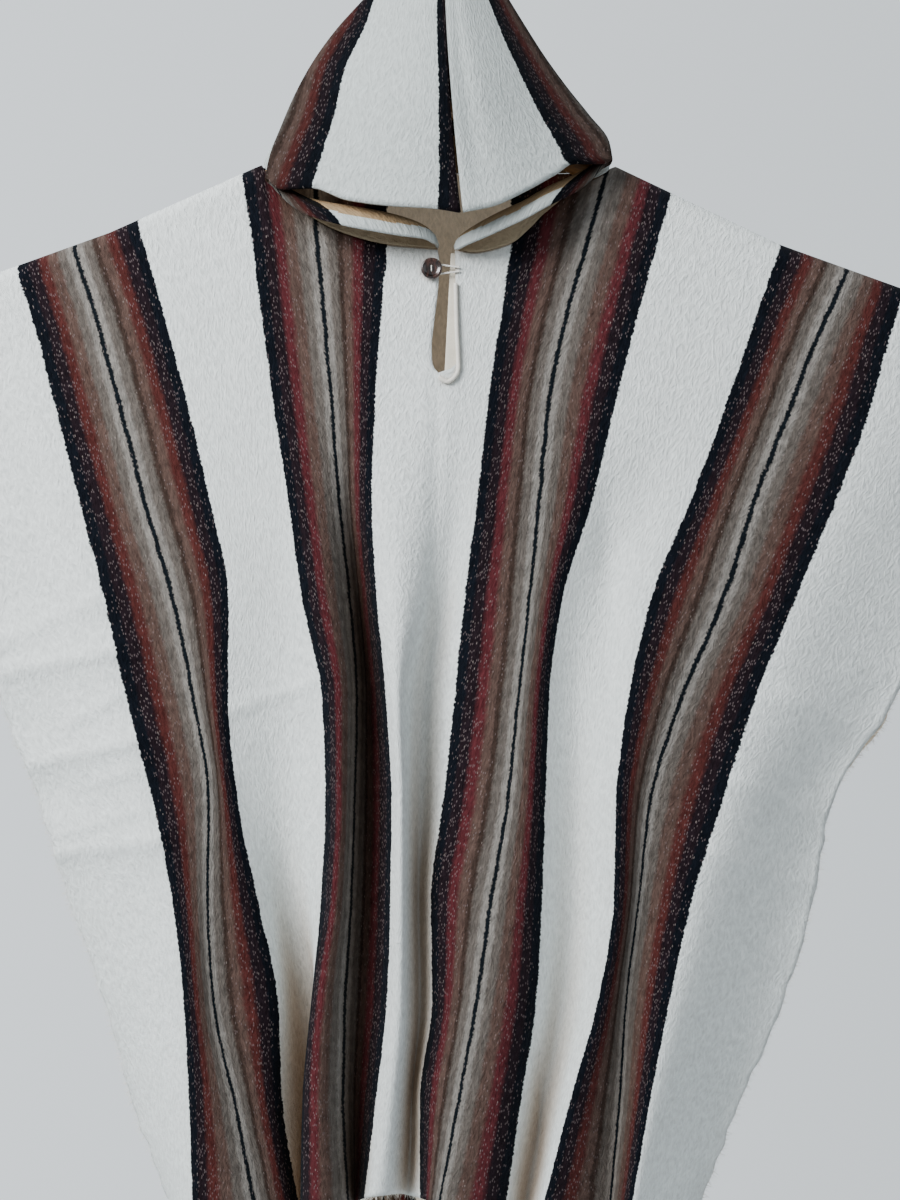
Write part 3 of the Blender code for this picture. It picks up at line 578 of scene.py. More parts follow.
def group_stops(white: str, red: str) -> tuple[Stripe, ...]:
    """Stops of one stripe group; the reds differ between the inner and outer groups.

    Args:
        white: Colour of the cloth beside the group.
        red: Colour of the red stripe.

    Returns:
        The stops from edge to edge.
    """
    bands = (
        # from, to, colour
        (0.007, 0.076, "0E1219"),
        (0.100, 0.160, "1E161B"),
        (0.196, 0.236, red),
        (0.272, 0.312, "54433D"),
        (0.330, 0.350, "3A2E29"),
        (0.380, 0.425, "5E5853"),
        (0.455, 0.488, "807C77"),
        (0.497, 0.525, "11171C"),
        (0.534, 0.565, "807C77"),
        (0.595, 0.640, "5E5853"),
        (0.672, 0.728, "54433D"),
        (0.766, 0.806, red),
        (0.842, 0.900, "1E161B"),
        (0.924, 0.993, "0E1219"),
    )
    stops = [Stripe(0.0, white)]
    for start, end, colour in bands:
        stops += [Stripe(start, colour), Stripe(end, colour)]
    return (*stops, Stripe(1.0, white))


@dataclass(frozen=True)
class StripedWool:
    """Brushed twill wool with warp stripes: broken diamond weave, flecks, heather and nap, with painted shade
    and painted glow.

    Reaches are in metres on the cloth, and a scale counts the grains in a metre. The distance
    along the warp is cut to the share in grain_length and its like, so a smaller one draws out more.
    """

    name: str = "striped_wool"
    white: str = "EAF0EF"
    inner_red: str = "502529"
    outer_red: str = "4A2624"
    fleck: str = "87797A"
    bright_fleck: str = "A99E98"
    # tint multiplies the colour: a painted shade tone for the inner faces, the hood and the lip.
    tint: str = "FFFFFF"
    # Colour multiplied in, and reach of the ambient occlusion, for the painted shade in hollows.
    painted_hollow_tint: str = "B0937A"
    painted_hollow_reach: float = 0.035
    # Painted glow: emission of the cloth's own colour, so that the inner faces light up though they are no
    # lamp.
    painted_glow: float = 0.0
    inner_group: tuple[float, float] = (0.055, 0.177)
    outer_group: tuple[float, float] = (0.281, 0.403)
    between_groups: float = 0.229
    dark_half: float = 0.494
    fray_scale: float = 330.0
    fray_reach: float = 0.0042
    sway_scale: float = 45.0
    sway_reach: float = 0.0030
    grain: float = 340.0
    grain_length: float = 0.38
    grain_lean: float = 0.28
    nap_scale: float = 1100.0
    nap_share: float = 0.45
    relief: float = 0.0024
    streak_scale: float = 620.0
    streak_length: float = 0.16
    streak_share: float = 1.1
    blotch_scale: float = 75.0
    fleck_scale: float = 600.0
    fleck_length: float = 0.38
    fleck_radius: float = 0.27
    fleck_cover: float = 0.38
    plain_share: float = 0.94

    FLECKS = (
        # share of the way from the group's middle to its edge, how often a fleck shows
        (0.28, 0.05),
        (0.34, 0.14),
        (0.48, 0.18),
        (0.54, 0.32),
        (0.64, 0.36),
        (0.68, 0.46),
        (0.82, 0.42),
        (0.87, 0.15),
        (0.975, 0.12),
    )
    MIDDLE_FLECKS = (0.04, 0.04, 0.04, 1.0)
    NO_FLECKS = (0.0, 0.0, 0.0, 1.0)
    WHITE_TONES = (0.94, 1.03)
    DARK_TONES = (0.72, 1.3)

    def stripes(self, graph: Graph, across: NodeSocket) -> tuple[NodeSocket, NodeSocket]:
        """Colour of the stripes and the share of the way across a group.

        Args:
            graph: Tree to fill.
            across: Distance from the middle of the cut, in metres.

        Returns:
            Colour and share sockets.
        """
        shares = []
        colours = []
        for (low, high), red in ((self.inner_group, self.inner_red), (self.outer_group, self.outer_red)):
            share = graph.add(MAP_RANGE, {"Value": across, "From Min": low, "From Max": high})
            ramp = graph.add("ShaderNodeValToRGB", {"Fac": share.outputs[0]})
            stops = group_stops(self.white, red)
            elements = ramp.color_ramp.elements
            elements[0].position = stops[0].place
            elements[0].color = rgb(stops[0].colour)
            elements[1].position = 1.0
            elements[1].color = rgb(stops[-1].colour)
            for stop in stops[1:-1]:
                elements.new(stop.place).color = rgb(stop.colour)
            shares.append(share.outputs[0])
            colours.append(ramp.outputs[0])
        outer = graph.add(MATH, {0: across, 1: self.between_groups}, operation="GREATER_THAN").outputs[0]
        colour = graph.add(MIX, {0: outer, 6: colours[0], 7: colours[1]}, data_type="RGBA")
        share = graph.add(MIX, {0: outer, 2: shares[0], 3: shares[1]}, data_type="FLOAT")
        return colour.outputs[2], share.outputs[0]

    def frayed(self, graph: Graph, place: NodeSocket, parts: NodeOutputs) -> NodeSocket:
        """Distance from the middle of the cut, moved a little so that no stripe's edge is ruled."""
        fray = graph.add(NOISE, {"Vector": place, "Scale": self.fray_scale, "Detail": 1.0}).outputs[0]
        sway = graph.add(NOISE, {"Vector": place, "Scale": self.sway_scale, "Detail": 1.0}).outputs[0]
        shift = graph.add(
            MATH,
            {0: fray, 1: self.fray_reach, 2: -self.fray_reach / 2},
            operation="MULTIPLY_ADD",
        ).outputs[0]
        shift = graph.add(
            MATH, {0: sway, 1: self.sway_reach, 2: shift}, operation="MULTIPLY_ADD"
        ).outputs[0]
        moved = graph.add(MATH, {0: parts[0], 1: shift}, operation="ADD").outputs[0]
        return graph.add(MATH, {0: moved}, operation="ABSOLUTE").outputs[0]

    def build(self) -> bpy.types.Material:
        """Make the material: stripes by warp line, weave relief, cream flecks, streaked heather, painted shade
        and painted glow.
        """
        made, graph = new_material(self.name)
        place = graph.add("ShaderNodeUVMap", uv_map="cloth").outputs[0]
        parts = graph.add("ShaderNodeSeparateXYZ", {0: place}).outputs
        colour, share = self.stripes(graph, self.frayed(graph, place, parts))
        dark = self.darkness(graph, share)
        colour = self.heather(graph, place, parts, colour, dark)
        height = self.weave_height(graph, parts)
        colour = self.flecks(graph, parts, colour, share)
        # Painted shade in the weave's recesses, with a little painted light on its raised grains.
        painted_weave_shade = graph.add(
            MAP_RANGE,
            {"Value": height, "From Min": 0.35, "From Max": 0.72, "To Min": 0.82, "To Max": 1.05},
        ).outputs[0]
        # Multiply by the weave's painted shade and by the tint, the painted shade tone.
        for factor in (painted_weave_shade, rgb(self.tint)):
            colour = graph.add(MIX, {0: 1.0, 6: colour, 7: factor}, **PRODUCT).outputs[2]
        # Painted warm shade in the folds and under the lip.
        colour = self.painted_hollow_shade(graph, colour)
        nap = graph.add(NOISE, {"Vector": place, "Scale": self.nap_scale, "Detail": 2.0}).outputs[0]
        relief = graph.add(
            MATH, {0: nap, 1: self.nap_share, 2: height}, operation="MULTIPLY_ADD"
        ).outputs[0]
        bump = graph.add(BUMP, {"Height": relief, "Strength": 0.9, "Distance": self.relief}).outputs[0]
        shader = graph.add(
            SURFACE,
            {
                "Base Color": colour,
                "Normal": bump,
                "Roughness": 0.94,
                "Specular IOR Level": 0.03,
                "Sheen Weight": 0.02,
                "Sheen Roughness": 0.5,
                # Painted glow from the emission.
                "Emission Color": colour,
                "Emission Strength": self.painted_glow,
            },
        )
        close_material(graph, shader)
        return made

    def painted_hollow_shade(self, graph: Graph, colour: NodeSocket) -> NodeSocket:
        """Painted warm shade deep in the folds and under the lip, darker where the ambient occlusion finds a
        hollow; it stands in for light that has passed through cream wool.
        """
        open_share = graph.add(
            "ShaderNodeAmbientOcclusion", {"Distance": self.painted_hollow_reach}, samples=8
        ).outputs["AO"]
        share = graph.add(
            MAP_RANGE,
            {"Value": open_share, "From Min": 0.15, "From Max": 0.85, "To Min": 1.0, "To Max": 0.0},
        ).outputs[0]
        warm = rgb(self.painted_hollow_tint)
        painted_shade = graph.add(MIX, {0: 1.0, 6: colour, 7: warm}, **PRODUCT).outputs[2]
        return graph.add(MIX, {0: share, 6: colour, 7: painted_shade}, data_type="RGBA").outputs[2]

    def darkness(self, graph: Graph, share: NodeSocket) -> NodeSocket:
        """1 within a stripe group and 0 in the white cloth."""
        away = self.off_middle(graph, share)
        return graph.add(MATH, {0: away, 1: self.dark_half}, operation="LESS_THAN").outputs[0]

    @staticmethod
    def off_middle(graph: Graph, share: NodeSocket) -> NodeSocket:
        """Distance from the middle of a stripe group, half at its edges."""
        middle = graph.add(MATH, {0: share, 1: 0.5}, operation="SUBTRACT").outputs[0]
        return graph.add(MATH, {0: middle}, operation="ABSOLUTE").outputs[0]

    def heather(
        self,
        graph: Graph,
        place: NodeSocket,
        parts: NodeOutputs,
        colour: NodeSocket,
        dark: NodeSocket,
    ) -> NodeSocket:
        """Mix of fibres: streaks along the warp and soft blotches.

        Args:
            graph: Tree to fill.
            place: Cloth coordinates.
            parts: Their separate sockets.
            colour: Colour so far.
            dark: 1 within the stripe groups.

        Returns:
            The varied colour.
        """
        slow = graph.add(MATH, {0: parts[1], 1: self.streak_length}, operation="MULTIPLY").outputs[0]
        drawn = graph.add("ShaderNodeCombineXYZ", {0: parts[0], 1: slow}).outputs[0]
        streak = graph.add(NOISE, {"Vector": drawn, "Scale": self.streak_scale, "Detail": 2.0}).outputs[0]
        blotch = graph.add(NOISE, {"Vector": place, "Scale": self.blotch_scale, "Detail": 3.0}).outputs[0]
        both = graph.add(
            MATH, {0: streak, 1: self.streak_share, 2: blotch}, operation="MULTIPLY_ADD"
        ).outputs[0]
        tones = []
        for least, most in (self.WHITE_TONES, self.DARK_TONES):
            tone = graph.add(
                MAP_RANGE,
                {"Value": both, "From Min": 0.75, "From Max": 1.35, "To Min": least, "To Max": most},
            )
            tones.append(tone.outputs[0])
        factor = graph.add(MIX, {0: dark, 2: tones[0], 3: tones[1]}, data_type="FLOAT").outputs[0]
        return graph.add(MIX, {0: 1.0, 6: colour, 7: factor}, **PRODUCT).outputs[2]

    def weave_height(self, graph: Graph, parts: NodeOutputs) -> NodeSocket:
        """Brushed broken twill: soft grains that lean to the left and to the right in turn."""
        grains = []
        length = graph.add(MATH, {0: parts[1], 1: self.grain_length}, operation="MULTIPLY").outputs[0]
        for lean in (self.grain_lean, -self.grain_lean):
            side = graph.add(MATH, {0: parts[1], 1: lean, 2: parts[0]}, operation="MULTIPLY_ADD").outputs[0]
            drawn = graph.add("ShaderNodeCombineXYZ", {0: side, 1: length, 2: lean}).outputs[0]
            noise = graph.add(NOISE, {"Vector": drawn, "Scale": self.grain, "Detail": 1.0})
            grains.append(noise.outputs[0])
        return graph.add(MATH, {0: grains[0], 1: grains[1]}, operation="MAXIMUM").outputs[0]

    def flecks(
        self,
        graph: Graph,
        parts: NodeOutputs,
        colour: NodeSocket,
        share: NodeSocket,
    ) -> NodeSocket:
        """Cream weft flecks that show through the dark stripes.

        Args:
            graph: Tree to fill.
            parts: Cloth coordinates as separate sockets.
            colour: Colour so far.
            share: Share of the way across the stripe group.

        Returns:
            The flecked colour.
        """
        away = self.off_middle(graph, share)
        edgeward = graph.add(MATH, {0: away, 1: 2.0}, operation="MULTIPLY").outputs[0]
        ramp = graph.add("ShaderNodeValToRGB", {"Fac": edgeward})
        elements = ramp.color_ramp.elements
        elements[0].color = self.MIDDLE_FLECKS
        elements[1].color = self.NO_FLECKS
        for place, level in self.FLECKS:
            elements.new(place).color = (level, level, level, 1.0)
        slow = graph.add(MATH, {0: parts[1], 1: self.fleck_length}, operation="MULTIPLY").outputs[0]
        squeezed = graph.add("ShaderNodeCombineXYZ", {0: parts[0], 1: slow}).outputs[0]
        cells = graph.add(
            "ShaderNodeTexVoronoi", {"Vector": squeezed, "Scale": self.fleck_scale}, voronoi_dimensions="2D"
        ).outputs
        dot = graph.add(
            MATH, {0: cells["Distance"], 1: self.fleck_radius}, operation="LESS_THAN"
        ).outputs[0]
        draw = graph.add("ShaderNodeSeparateColor", {0: cells["Color"]}).outputs
        chosen = graph.add(MATH, {0: draw[0], 1: ramp.outputs[0]}, operation="LESS_THAN").outputs[0]
        mask = graph.add(MATH, {0: dot, 1: chosen}, operation="MULTIPLY").outputs[0]
        mask = graph.add(MATH, {0: mask, 1: self.fleck_cover}, operation="MULTIPLY").outputs[0]
        rare = graph.add(MATH, {0: draw[1], 1: self.plain_share}, operation="GREATER_THAN").outputs[0]
        thread = graph.add(
            MIX, {0: rare, 6: rgb(self.fleck), 7: rgb(self.bright_fleck)}, data_type="RGBA"
        ).outputs[2]
        return graph.add(MIX, {0: mask, 6: colour, 7: thread}, data_type="RGBA").outputs[2]


@dataclass(frozen=True)
class PlainWool:
    """Plain cream wool of the facing, binding and edge fibres, with a soft nap."""

    name: str = "cream_wool"
    colour: str = "E2DED2"
    grain: float = 900.0
    blotch: float = 60.0
    darkest: float = 0.88
    lightest: float = 1.06
    relief: float = 0.0005

    def build(self) -> bpy.types.Material:
        """Make the material: fine woven grain and a little colour change."""
        made, graph = new_material(self.name)
        place = graph.add("ShaderNodeTexCoord").outputs["Object"]
        grain = graph.add(NOISE, {"Vector": place, "Scale": self.grain, "Detail": 2.0}).outputs[0]
        blotch = graph.add(NOISE, {"Vector": place, "Scale": self.blotch, "Detail": 2.0}).outputs[0]
        both = graph.add(MATH, {0: grain, 1: blotch}, operation="ADD").outputs[0]
        factor = graph.add(
            MAP_RANGE,
            {
                "Value": both,
                "From Min": 0.7,
                "From Max": 1.3,
                "To Min": self.darkest,
                "To Max": self.lightest,
            },
        ).outputs[0]
        plain = rgb(self.colour)
        colour = graph.add(MIX, {0: 1.0, 6: plain, 7: factor}, **PRODUCT).outputs[2]
        bump = graph.add(BUMP, {"Height": grain, "Strength": 0.5, "Distance": self.relief}).outputs[0]
        shader = graph.add(
            SURFACE,
            {
                "Base Color": colour,
                "Normal": bump,
                "Roughness": 0.92,
                "Specular IOR Level": 0.2,
                "Sheen Weight": 0.3,
                "Sheen Roughness": 0.5,
            },
        )
        close_material(graph, shader)
        return made


@dataclass(frozen=True)
class HornFinish:
    """Polished dark horn of the button: brown streaks under a clear gloss."""

    name: str = "dark_horn"
    dark: str = "17110F"
    brown: str = "4A3029"
    streak: float = 420.0
    drawn_out: tuple[float, float, float] = (1.0, 1.0, 0.35)
    gloss: tuple[float, float] = (0.16, 0.34)

    def build(self) -> bpy.types.Material:
        """Make the material: streaks along the blank and a glossy coat."""
        made, graph = new_material(self.name)
        place = graph.add("ShaderNodeTexCoord").outputs["Object"]
        drawn = graph.add("ShaderNodeMapping", {"Vector": place, "Scale": self.drawn_out}).outputs[0]
        streak = graph.add(NOISE, {"Vector": drawn, "Scale": self.streak, "Detail": 3.0}).outputs[0]
        fit = graph.add(MAP_RANGE, {"Value": streak, "From Min": 0.42, "From Max": 0.68}).outputs[0]
        colour = graph.add(
            MIX, {0: fit, 6: rgb(self.dark), 7: rgb(self.brown)}, data_type="RGBA"
        ).outputs[2]
        rough = graph.add(
            MAP_RANGE, {"Value": streak, "To Min": self.gloss[0], "To Max": self.gloss[1]}
        ).outputs[0]
        shader = graph.add(
            SURFACE,
            {"Base Color": colour, "Roughness": rough, "Coat Weight": 0.5, "Coat Roughness": 0.08},
        )
        close_material(graph, shader)
        return made


@dataclass(frozen=True)
class WoodFinish:
    """Varnished beech of the hanger's arms: grain along the arms under a satin coat."""

    name: str = "varnished_beech"
    light: str = "B98B58"
    dark: str = "8A5F36"
    grain: float = 260.0
    drawn_out: tuple[float, float, float] = (0.08, 1.0, 1.0)
    relief: float = 0.0003

    def build(self) -> bpy.types.Material:
        """Make the material: drawn-out grain and pores."""
        made, graph = new_material(self.name)
        place = graph.add("ShaderNodeTexCoord").outputs["Object"]
        drawn = graph.add("ShaderNodeMapping", {"Vector": place, "Scale": self.drawn_out}).outputs[0]
        grain = graph.add(NOISE, {"Vector": drawn, "Scale": self.grain, "Detail": 4.0}).outputs[0]
        fit = graph.add(MAP_RANGE, {"Value": grain, "From Min": 0.35, "From Max": 0.65}).outputs[0]
        colour = graph.add(
            MIX, {0: fit, 6: rgb(self.dark), 7: rgb(self.light)}, data_type="RGBA"
        ).outputs[2]
        bump = graph.add(BUMP, {"Height": grain, "Strength": 0.2, "Distance": self.relief}).outputs[0]
        shader = graph.add(
            SURFACE,
            {
                "Base Color": colour,
                "Normal": bump,
                "Roughness": 0.42,
                "Coat Weight": 0.35,
                "Coat Roughness": 0.2,
            },
        )
        close_material(graph, shader)
        return made


@dataclass(frozen=True)
class WireFinish:
    """Drawn steel wire of the hook and its ring: fine lines and a dull shine."""

    name: str = "drawn_wire"
    colour: str = "B9BCBE"
    lines: float = 2600.0
    drawn_out: tuple[float, float, float] = (1.0, 1.0, 0.05)
    gloss: tuple[float, float] = (0.24, 0.44)
    relief: float = 0.0002

    def build(self) -> bpy.types.Material:
        """Make the material: fine drawing lines in the roughness and relief."""
        made, graph = new_material(self.name)
        place = graph.add("ShaderNodeTexCoord").outputs["Object"]
        drawn = graph.add("ShaderNodeMapping", {"Vector": place, "Scale": self.drawn_out}).outputs[0]
        lines = graph.add(NOISE, {"Vector": drawn, "Scale": self.lines, "Detail": 2.0}).outputs[0]
        rough = graph.add(
            MAP_RANGE, {"Value": lines, "To Min": self.gloss[0], "To Max": self.gloss[1]}
        ).outputs[0]
        bump = graph.add(BUMP, {"Height": lines, "Strength": 0.15, "Distance": self.relief}).outputs[0]
        tone = graph.add(MAP_RANGE, {"Value": lines, "To Min": 0.85, "To Max": 1.05}).outputs[0]
        colour = graph.add(MIX, {0: 1.0, 6: rgb(self.colour), 7: tone}, **PRODUCT).outputs[2]
        shader = graph.add(
            SURFACE,
            {"Base Color": colour, "Normal": bump, "Roughness": rough, "Metallic": 1.0},
        )
        close_material(graph, shader)
        return made


def evaluated(made: bpy.types.Object) -> bpy.types.Mesh:
    """Replace an object's mesh by its mesh with all modifiers, and drop the modifiers."""
    bpy.context.view_layer.update()
    graph = bpy.context.evaluated_depsgraph_get()
    mesh = bpy.data.meshes.new_from_object(made.evaluated_get(graph))
    made.modifiers.clear()
    made.data = mesh
    return mesh


def add_object(name: str, mesh: bpy.types.Mesh, look: bpy.types.Material) -> bpy.types.Object:
    """Object of a mesh in the scene, smooth and in one material."""
    made = bpy.data.objects.new(name, mesh)
    bpy.context.scene.collection.objects.link(made)
    mesh.materials.clear()
    mesh.materials.append(look)
    mesh.polygons.foreach_set("use_smooth", [True] * len(mesh.polygons))
    return made


@dataclass
class ClothGrid:
    """Points and cloth coordinates of one or more joined grids."""

    points: list[np.ndarray] = field(default_factory=list)
    places: list[np.ndarray] = field(default_factory=list)
    faces: list[tuple[int, ...]] = field(default_factory=list)
    count: int = 0

    def add(self, points: np.ndarray, places: np.ndarray) -> np.ndarray:
        """Add vertices.

        Args:
            points: World points in mm, any shape with x, y and z last.
            places: Cloth coordinates in mm, across and down.

        Returns:
            Index of each vertex, in the same shape.
        """
        total = int(np.prod(points.shape[:-1]))
        index = np.arange(self.count, self.count + total).reshape(points.shape[:-1])
        self.points.append(points.reshape(-1, 3))
        self.places.append(places.reshape(-1, 2))
        self.count += total
        return index

    def skin(self, index: np.ndarray, flip: bool = False) -> None:
        """Add the faces of a grid of indices."""
        a, b = index[:-1, :-1].ravel(), index[1:, :-1].ravel()
        c, d = index[1:, 1:].ravel(), index[:-1, 1:].ravel()
        order = (a, d, c, b) if flip else (a, b, c, d)
        self.faces += [tuple(int(i) for i in face) for face in zip(*order)]

    def mesh(self, name: str) -> bpy.types.Mesh:
        """Mesh in metres with the cloth coordinates as its UV map."""
        points = np.concatenate(self.points) * MM
        places = np.concatenate(self.places) * MM
        made = bpy.data.meshes.new(name)
        made.from_pydata(points.tolist(), [], self.faces)
        layer = made.uv_layers.new(name="cloth")
        loops = np.empty(len(made.loops), dtype=np.int32)
        made.loops.foreach_get("vertex_index", loops)
        layer.data.foreach_set("uv", places[loops].ravel())
        return made


@dataclass
class ClothPiece:
    """Wall of cloth on a sheet; its inner face takes a warmer material with painted shade and painted glow."""

    drape: Drape
    outside: bpy.types.Material
    inside: bpy.types.Material
    # Material with painted shade for the lip's outer face.
    painted_shade: bpy.types.Material | None = None

    def thicken(
        self,
        name: str,
        grid: ClothGrid,
        thick: float,
        band: np.ndarray | None = None,
        single: float = 1.0,
        lip: np.ndarray | None = None,
    ) -> bpy.types.Object:
        """Make the wall.

        Args:
            name: Name of the piece.
            grid: Middle sheet of the cloth.
            thick: Thickness in mm, in the hem band where there is one.
            band: 1 at each vertex of the turned hem band, whose both faces are the outside, else 0.
            single: Share of the thickness outside of the band.
            lip: 1 at each vertex of the overhanging lip, whose outer face gets the material with painted
                shade, else 0.

        Returns:
            The finished object.
        """
        made = add_object(name, grid.mesh(name), self.outside)
        made.data.materials.append(self.inside)
        if lip is not None:
            made.data.materials.append(self.painted_shade)
            made.data.attributes.new("lip", "FLOAT", "POINT").data.foreach_set("value", lip)
        wall = made.modifiers.new("Wall", "SOLIDIFY")
        wall.thickness = thick * MM
        wall.offset = 0.0
        wall.use_quality_normals = True
        wall.material_offset = 1
        if band is not None:
            group = made.vertex_groups.new(name="thickness")
            for index, share in enumerate(band):
                group.add([index], float(single + (1 - single) * share), "REPLACE")
            wall.vertex_group = group.name
            made.data.attributes.new("band", "FLOAT", "POINT").data.foreach_set("value", band)
        mesh = evaluated(made)
        if band is not None:
            shares = mesh.attributes["band"].data
            for face in mesh.polygons:
                if min(shares[vertex].value for vertex in face.vertices) > 0.4:
                    face.material_index = 0
        # The lip's outer face outside the hem band gets the material with painted shade.
        if lip is not None:
            folds = mesh.attributes["lip"].data
            for face in mesh.polygons:
                under = min(folds[vertex].value for vertex in face.vertices) > 0.5
                plain = min(shares[vertex].value for vertex in face.vertices) <= 0.4
                if under and plain and face.material_index == 0:
                    face.material_index = 2
        mesh.polygons.foreach_set("use_smooth", [True] * len(mesh.polygons))
        return made


class EdgeTree(Graph):
    """Geometry tree that works along the edges of a mesh, with named sizes as its inputs."""

    def __init__(self, name: str, sizes: tuple[str, ...]) -> None:
        """Open the tree; the first size is the step along the edges."""
        super().__init__(bpy.data.node_groups.new(name, "GeometryNodeTree"))
        face = self.tree.interface
        face.new_socket("Geometry", in_out="INPUT", socket_type="NodeSocketGeometry")
        for size in sizes:
            kind = "NodeSocketInt" if size == "Seed" else "NodeSocketFloat"
            face.new_socket(size, in_out="INPUT", socket_type=kind)
        face.new_socket("Geometry", in_out="OUTPUT", socket_type="NodeSocketGeometry")
        self.sizes = self.add("NodeGroupInput").outputs
        line = self.add("GeometryNodeMeshToCurve", {"Mesh": self.sizes["Geometry"]}).outputs[0]
        self.even = self.add(
            "GeometryNodeResampleCurve", {"Curve": line, "Length": self.sizes[sizes[0]]}, mode="LENGTH"
        ).outputs[0]
        self.outward = self.add(
            "GeometryNodeInputNamedAttribute", {"Name": "outward"}, data_type="FLOAT_VECTOR"
        ).outputs[0]

    def close(self, made: NodeSocket, look: bpy.types.Material) -> bpy.types.NodeTree:
        """Give the geometry its material and close the tree."""
        real = self.add("GeometryNodeRealizeInstances", {0: made}).outputs[0]
        dressed = self.add("GeometryNodeSetMaterial", {"Geometry": real, "Material": look}).outputs[0]
        self.add("NodeGroupOutput", {"Geometry": dressed})
        return self.tree


@dataclass
class RawEdge:
    """Fibres that stand out of a raw, brushed edge."""

    spacing: float = 1.0
    length: float = 6.0
    radius: float = 0.22
    tip: float = 0.03
    spread: float = 0.9
    least_size: float = 0.35
    most_size: float = 1.25
    seed: int = 5

    def tree(self, look: bpy.types.Material) -> bpy.types.NodeTree:
        """Node tree that stands short tapered fibres along the edges of a mesh.

        Args:
            look: Material of the fibres.

        Returns:
            The tree, with the sizes as its named inputs.
        """
        graph = EdgeTree("edge_fibres", ("Spacing", "Length", "Radius", "Spread", "Seed"))
        entry = graph.sizes
        spots = graph.add(
            "GeometryNodeCurveToPoints", {"Curve": graph.even}, mode="EVALUATED"
        ).outputs["Points"]
        low = graph.add(MATH, {0: entry["Spread"], 1: -1.0}, operation="MULTIPLY").outputs[0]
        least = graph.add("ShaderNodeCombineXYZ", {0: low, 1: low, 2: low}).outputs[0]
        most = graph.add(
            "ShaderNodeCombineXYZ", {0: entry["Spread"], 1: entry["Spread"], 2: entry["Spread"]}
        ).outputs[0]
        stray = graph.add(
            "FunctionNodeRandomValue", {0: least, 1: most, "Seed": entry["Seed"]}, data_type="FLOAT_VECTOR"
        ).outputs[0]
        way = graph.add("ShaderNodeVectorMath", {0: graph.outward, 1: stray}, operation="ADD").outputs[0]
        turn = graph.add("FunctionNodeAlignRotationToVector", {"Vector": way}, axis="Z").outputs[0]
        fibre = graph.add(
            "GeometryNodeMeshCone",
            {
                "Vertices": 4,
                "Radius Top": self.tip * MM,
                "Radius Bottom": entry["Radius"],
                "Depth": entry["Length"],
            },
            fill_type="NONE",
        ).outputs[0]
        size = graph.add(
            "FunctionNodeRandomValue",
            {2: self.least_size, 3: self.most_size, "Seed": entry["Seed"]},
            data_type="FLOAT",
        ).outputs[1]
        standing = graph.add(
            "GeometryNodeInstanceOnPoints",
            {"Points": spots, "Instance": fibre, "Rotation": turn, "Scale": size},
        ).outputs[0]
        return graph.close(standing, look)

    def build(
        self, name: str, lines: list[tuple[np.ndarray, np.ndarray]], look: bpy.types.Material
    ) -> bpy.types.Object:
        """Stand the fibres along edges.

        Args:
            name: Name of the piece.
            lines: Points of each edge and the outward direction at each point.
            look: Material of the fibres.

        Returns:
            The finished object.
        """
        points = np.concatenate([line for line, _ in lines]) * MM
        outward = np.concatenate([way for _, way in lines])
        edges = []
        start = 0
        for line, _ in lines:
            edges += [(start + i, start + i + 1) for i in range(len(line) - 1)]
            start += len(line)
        mesh = bpy.data.meshes.new(name)
        mesh.from_pydata(points.tolist(), edges, [])
        attribute = mesh.attributes.new("outward", "FLOAT_VECTOR", "POINT")
        attribute.data.foreach_set("vector", outward.ravel())
        made = add_object(name, mesh, look)
        tree = self.tree(look)
        sizes = {
            "Spacing": self.spacing * MM,
            "Length": self.length * MM,
            "Radius": self.radius * MM,
            "Spread": self.spread,
            "Seed": self.seed,
        }
        run_tree(made, tree, sizes)
        return made


def run_tree(made: bpy.types.Object, tree: bpy.types.NodeTree, sizes: dict[str, float]) -> None:
    """Run a node tree on an object and keep the mesh that it makes.

    Args:
        made: Object that carries the input mesh.
        tree: Node tree with named inputs.
        sizes: Value of each named input.
    """
    modifier = made.modifiers.new("Nodes", "NODES")
    modifier.node_group = tree
    for item in tree.interface.items_tree:
        if item.item_type == "SOCKET" and item.in_out == "INPUT" and item.name in sizes:
            modifier[item.identifier] = sizes[item.name]
    evaluated(made)


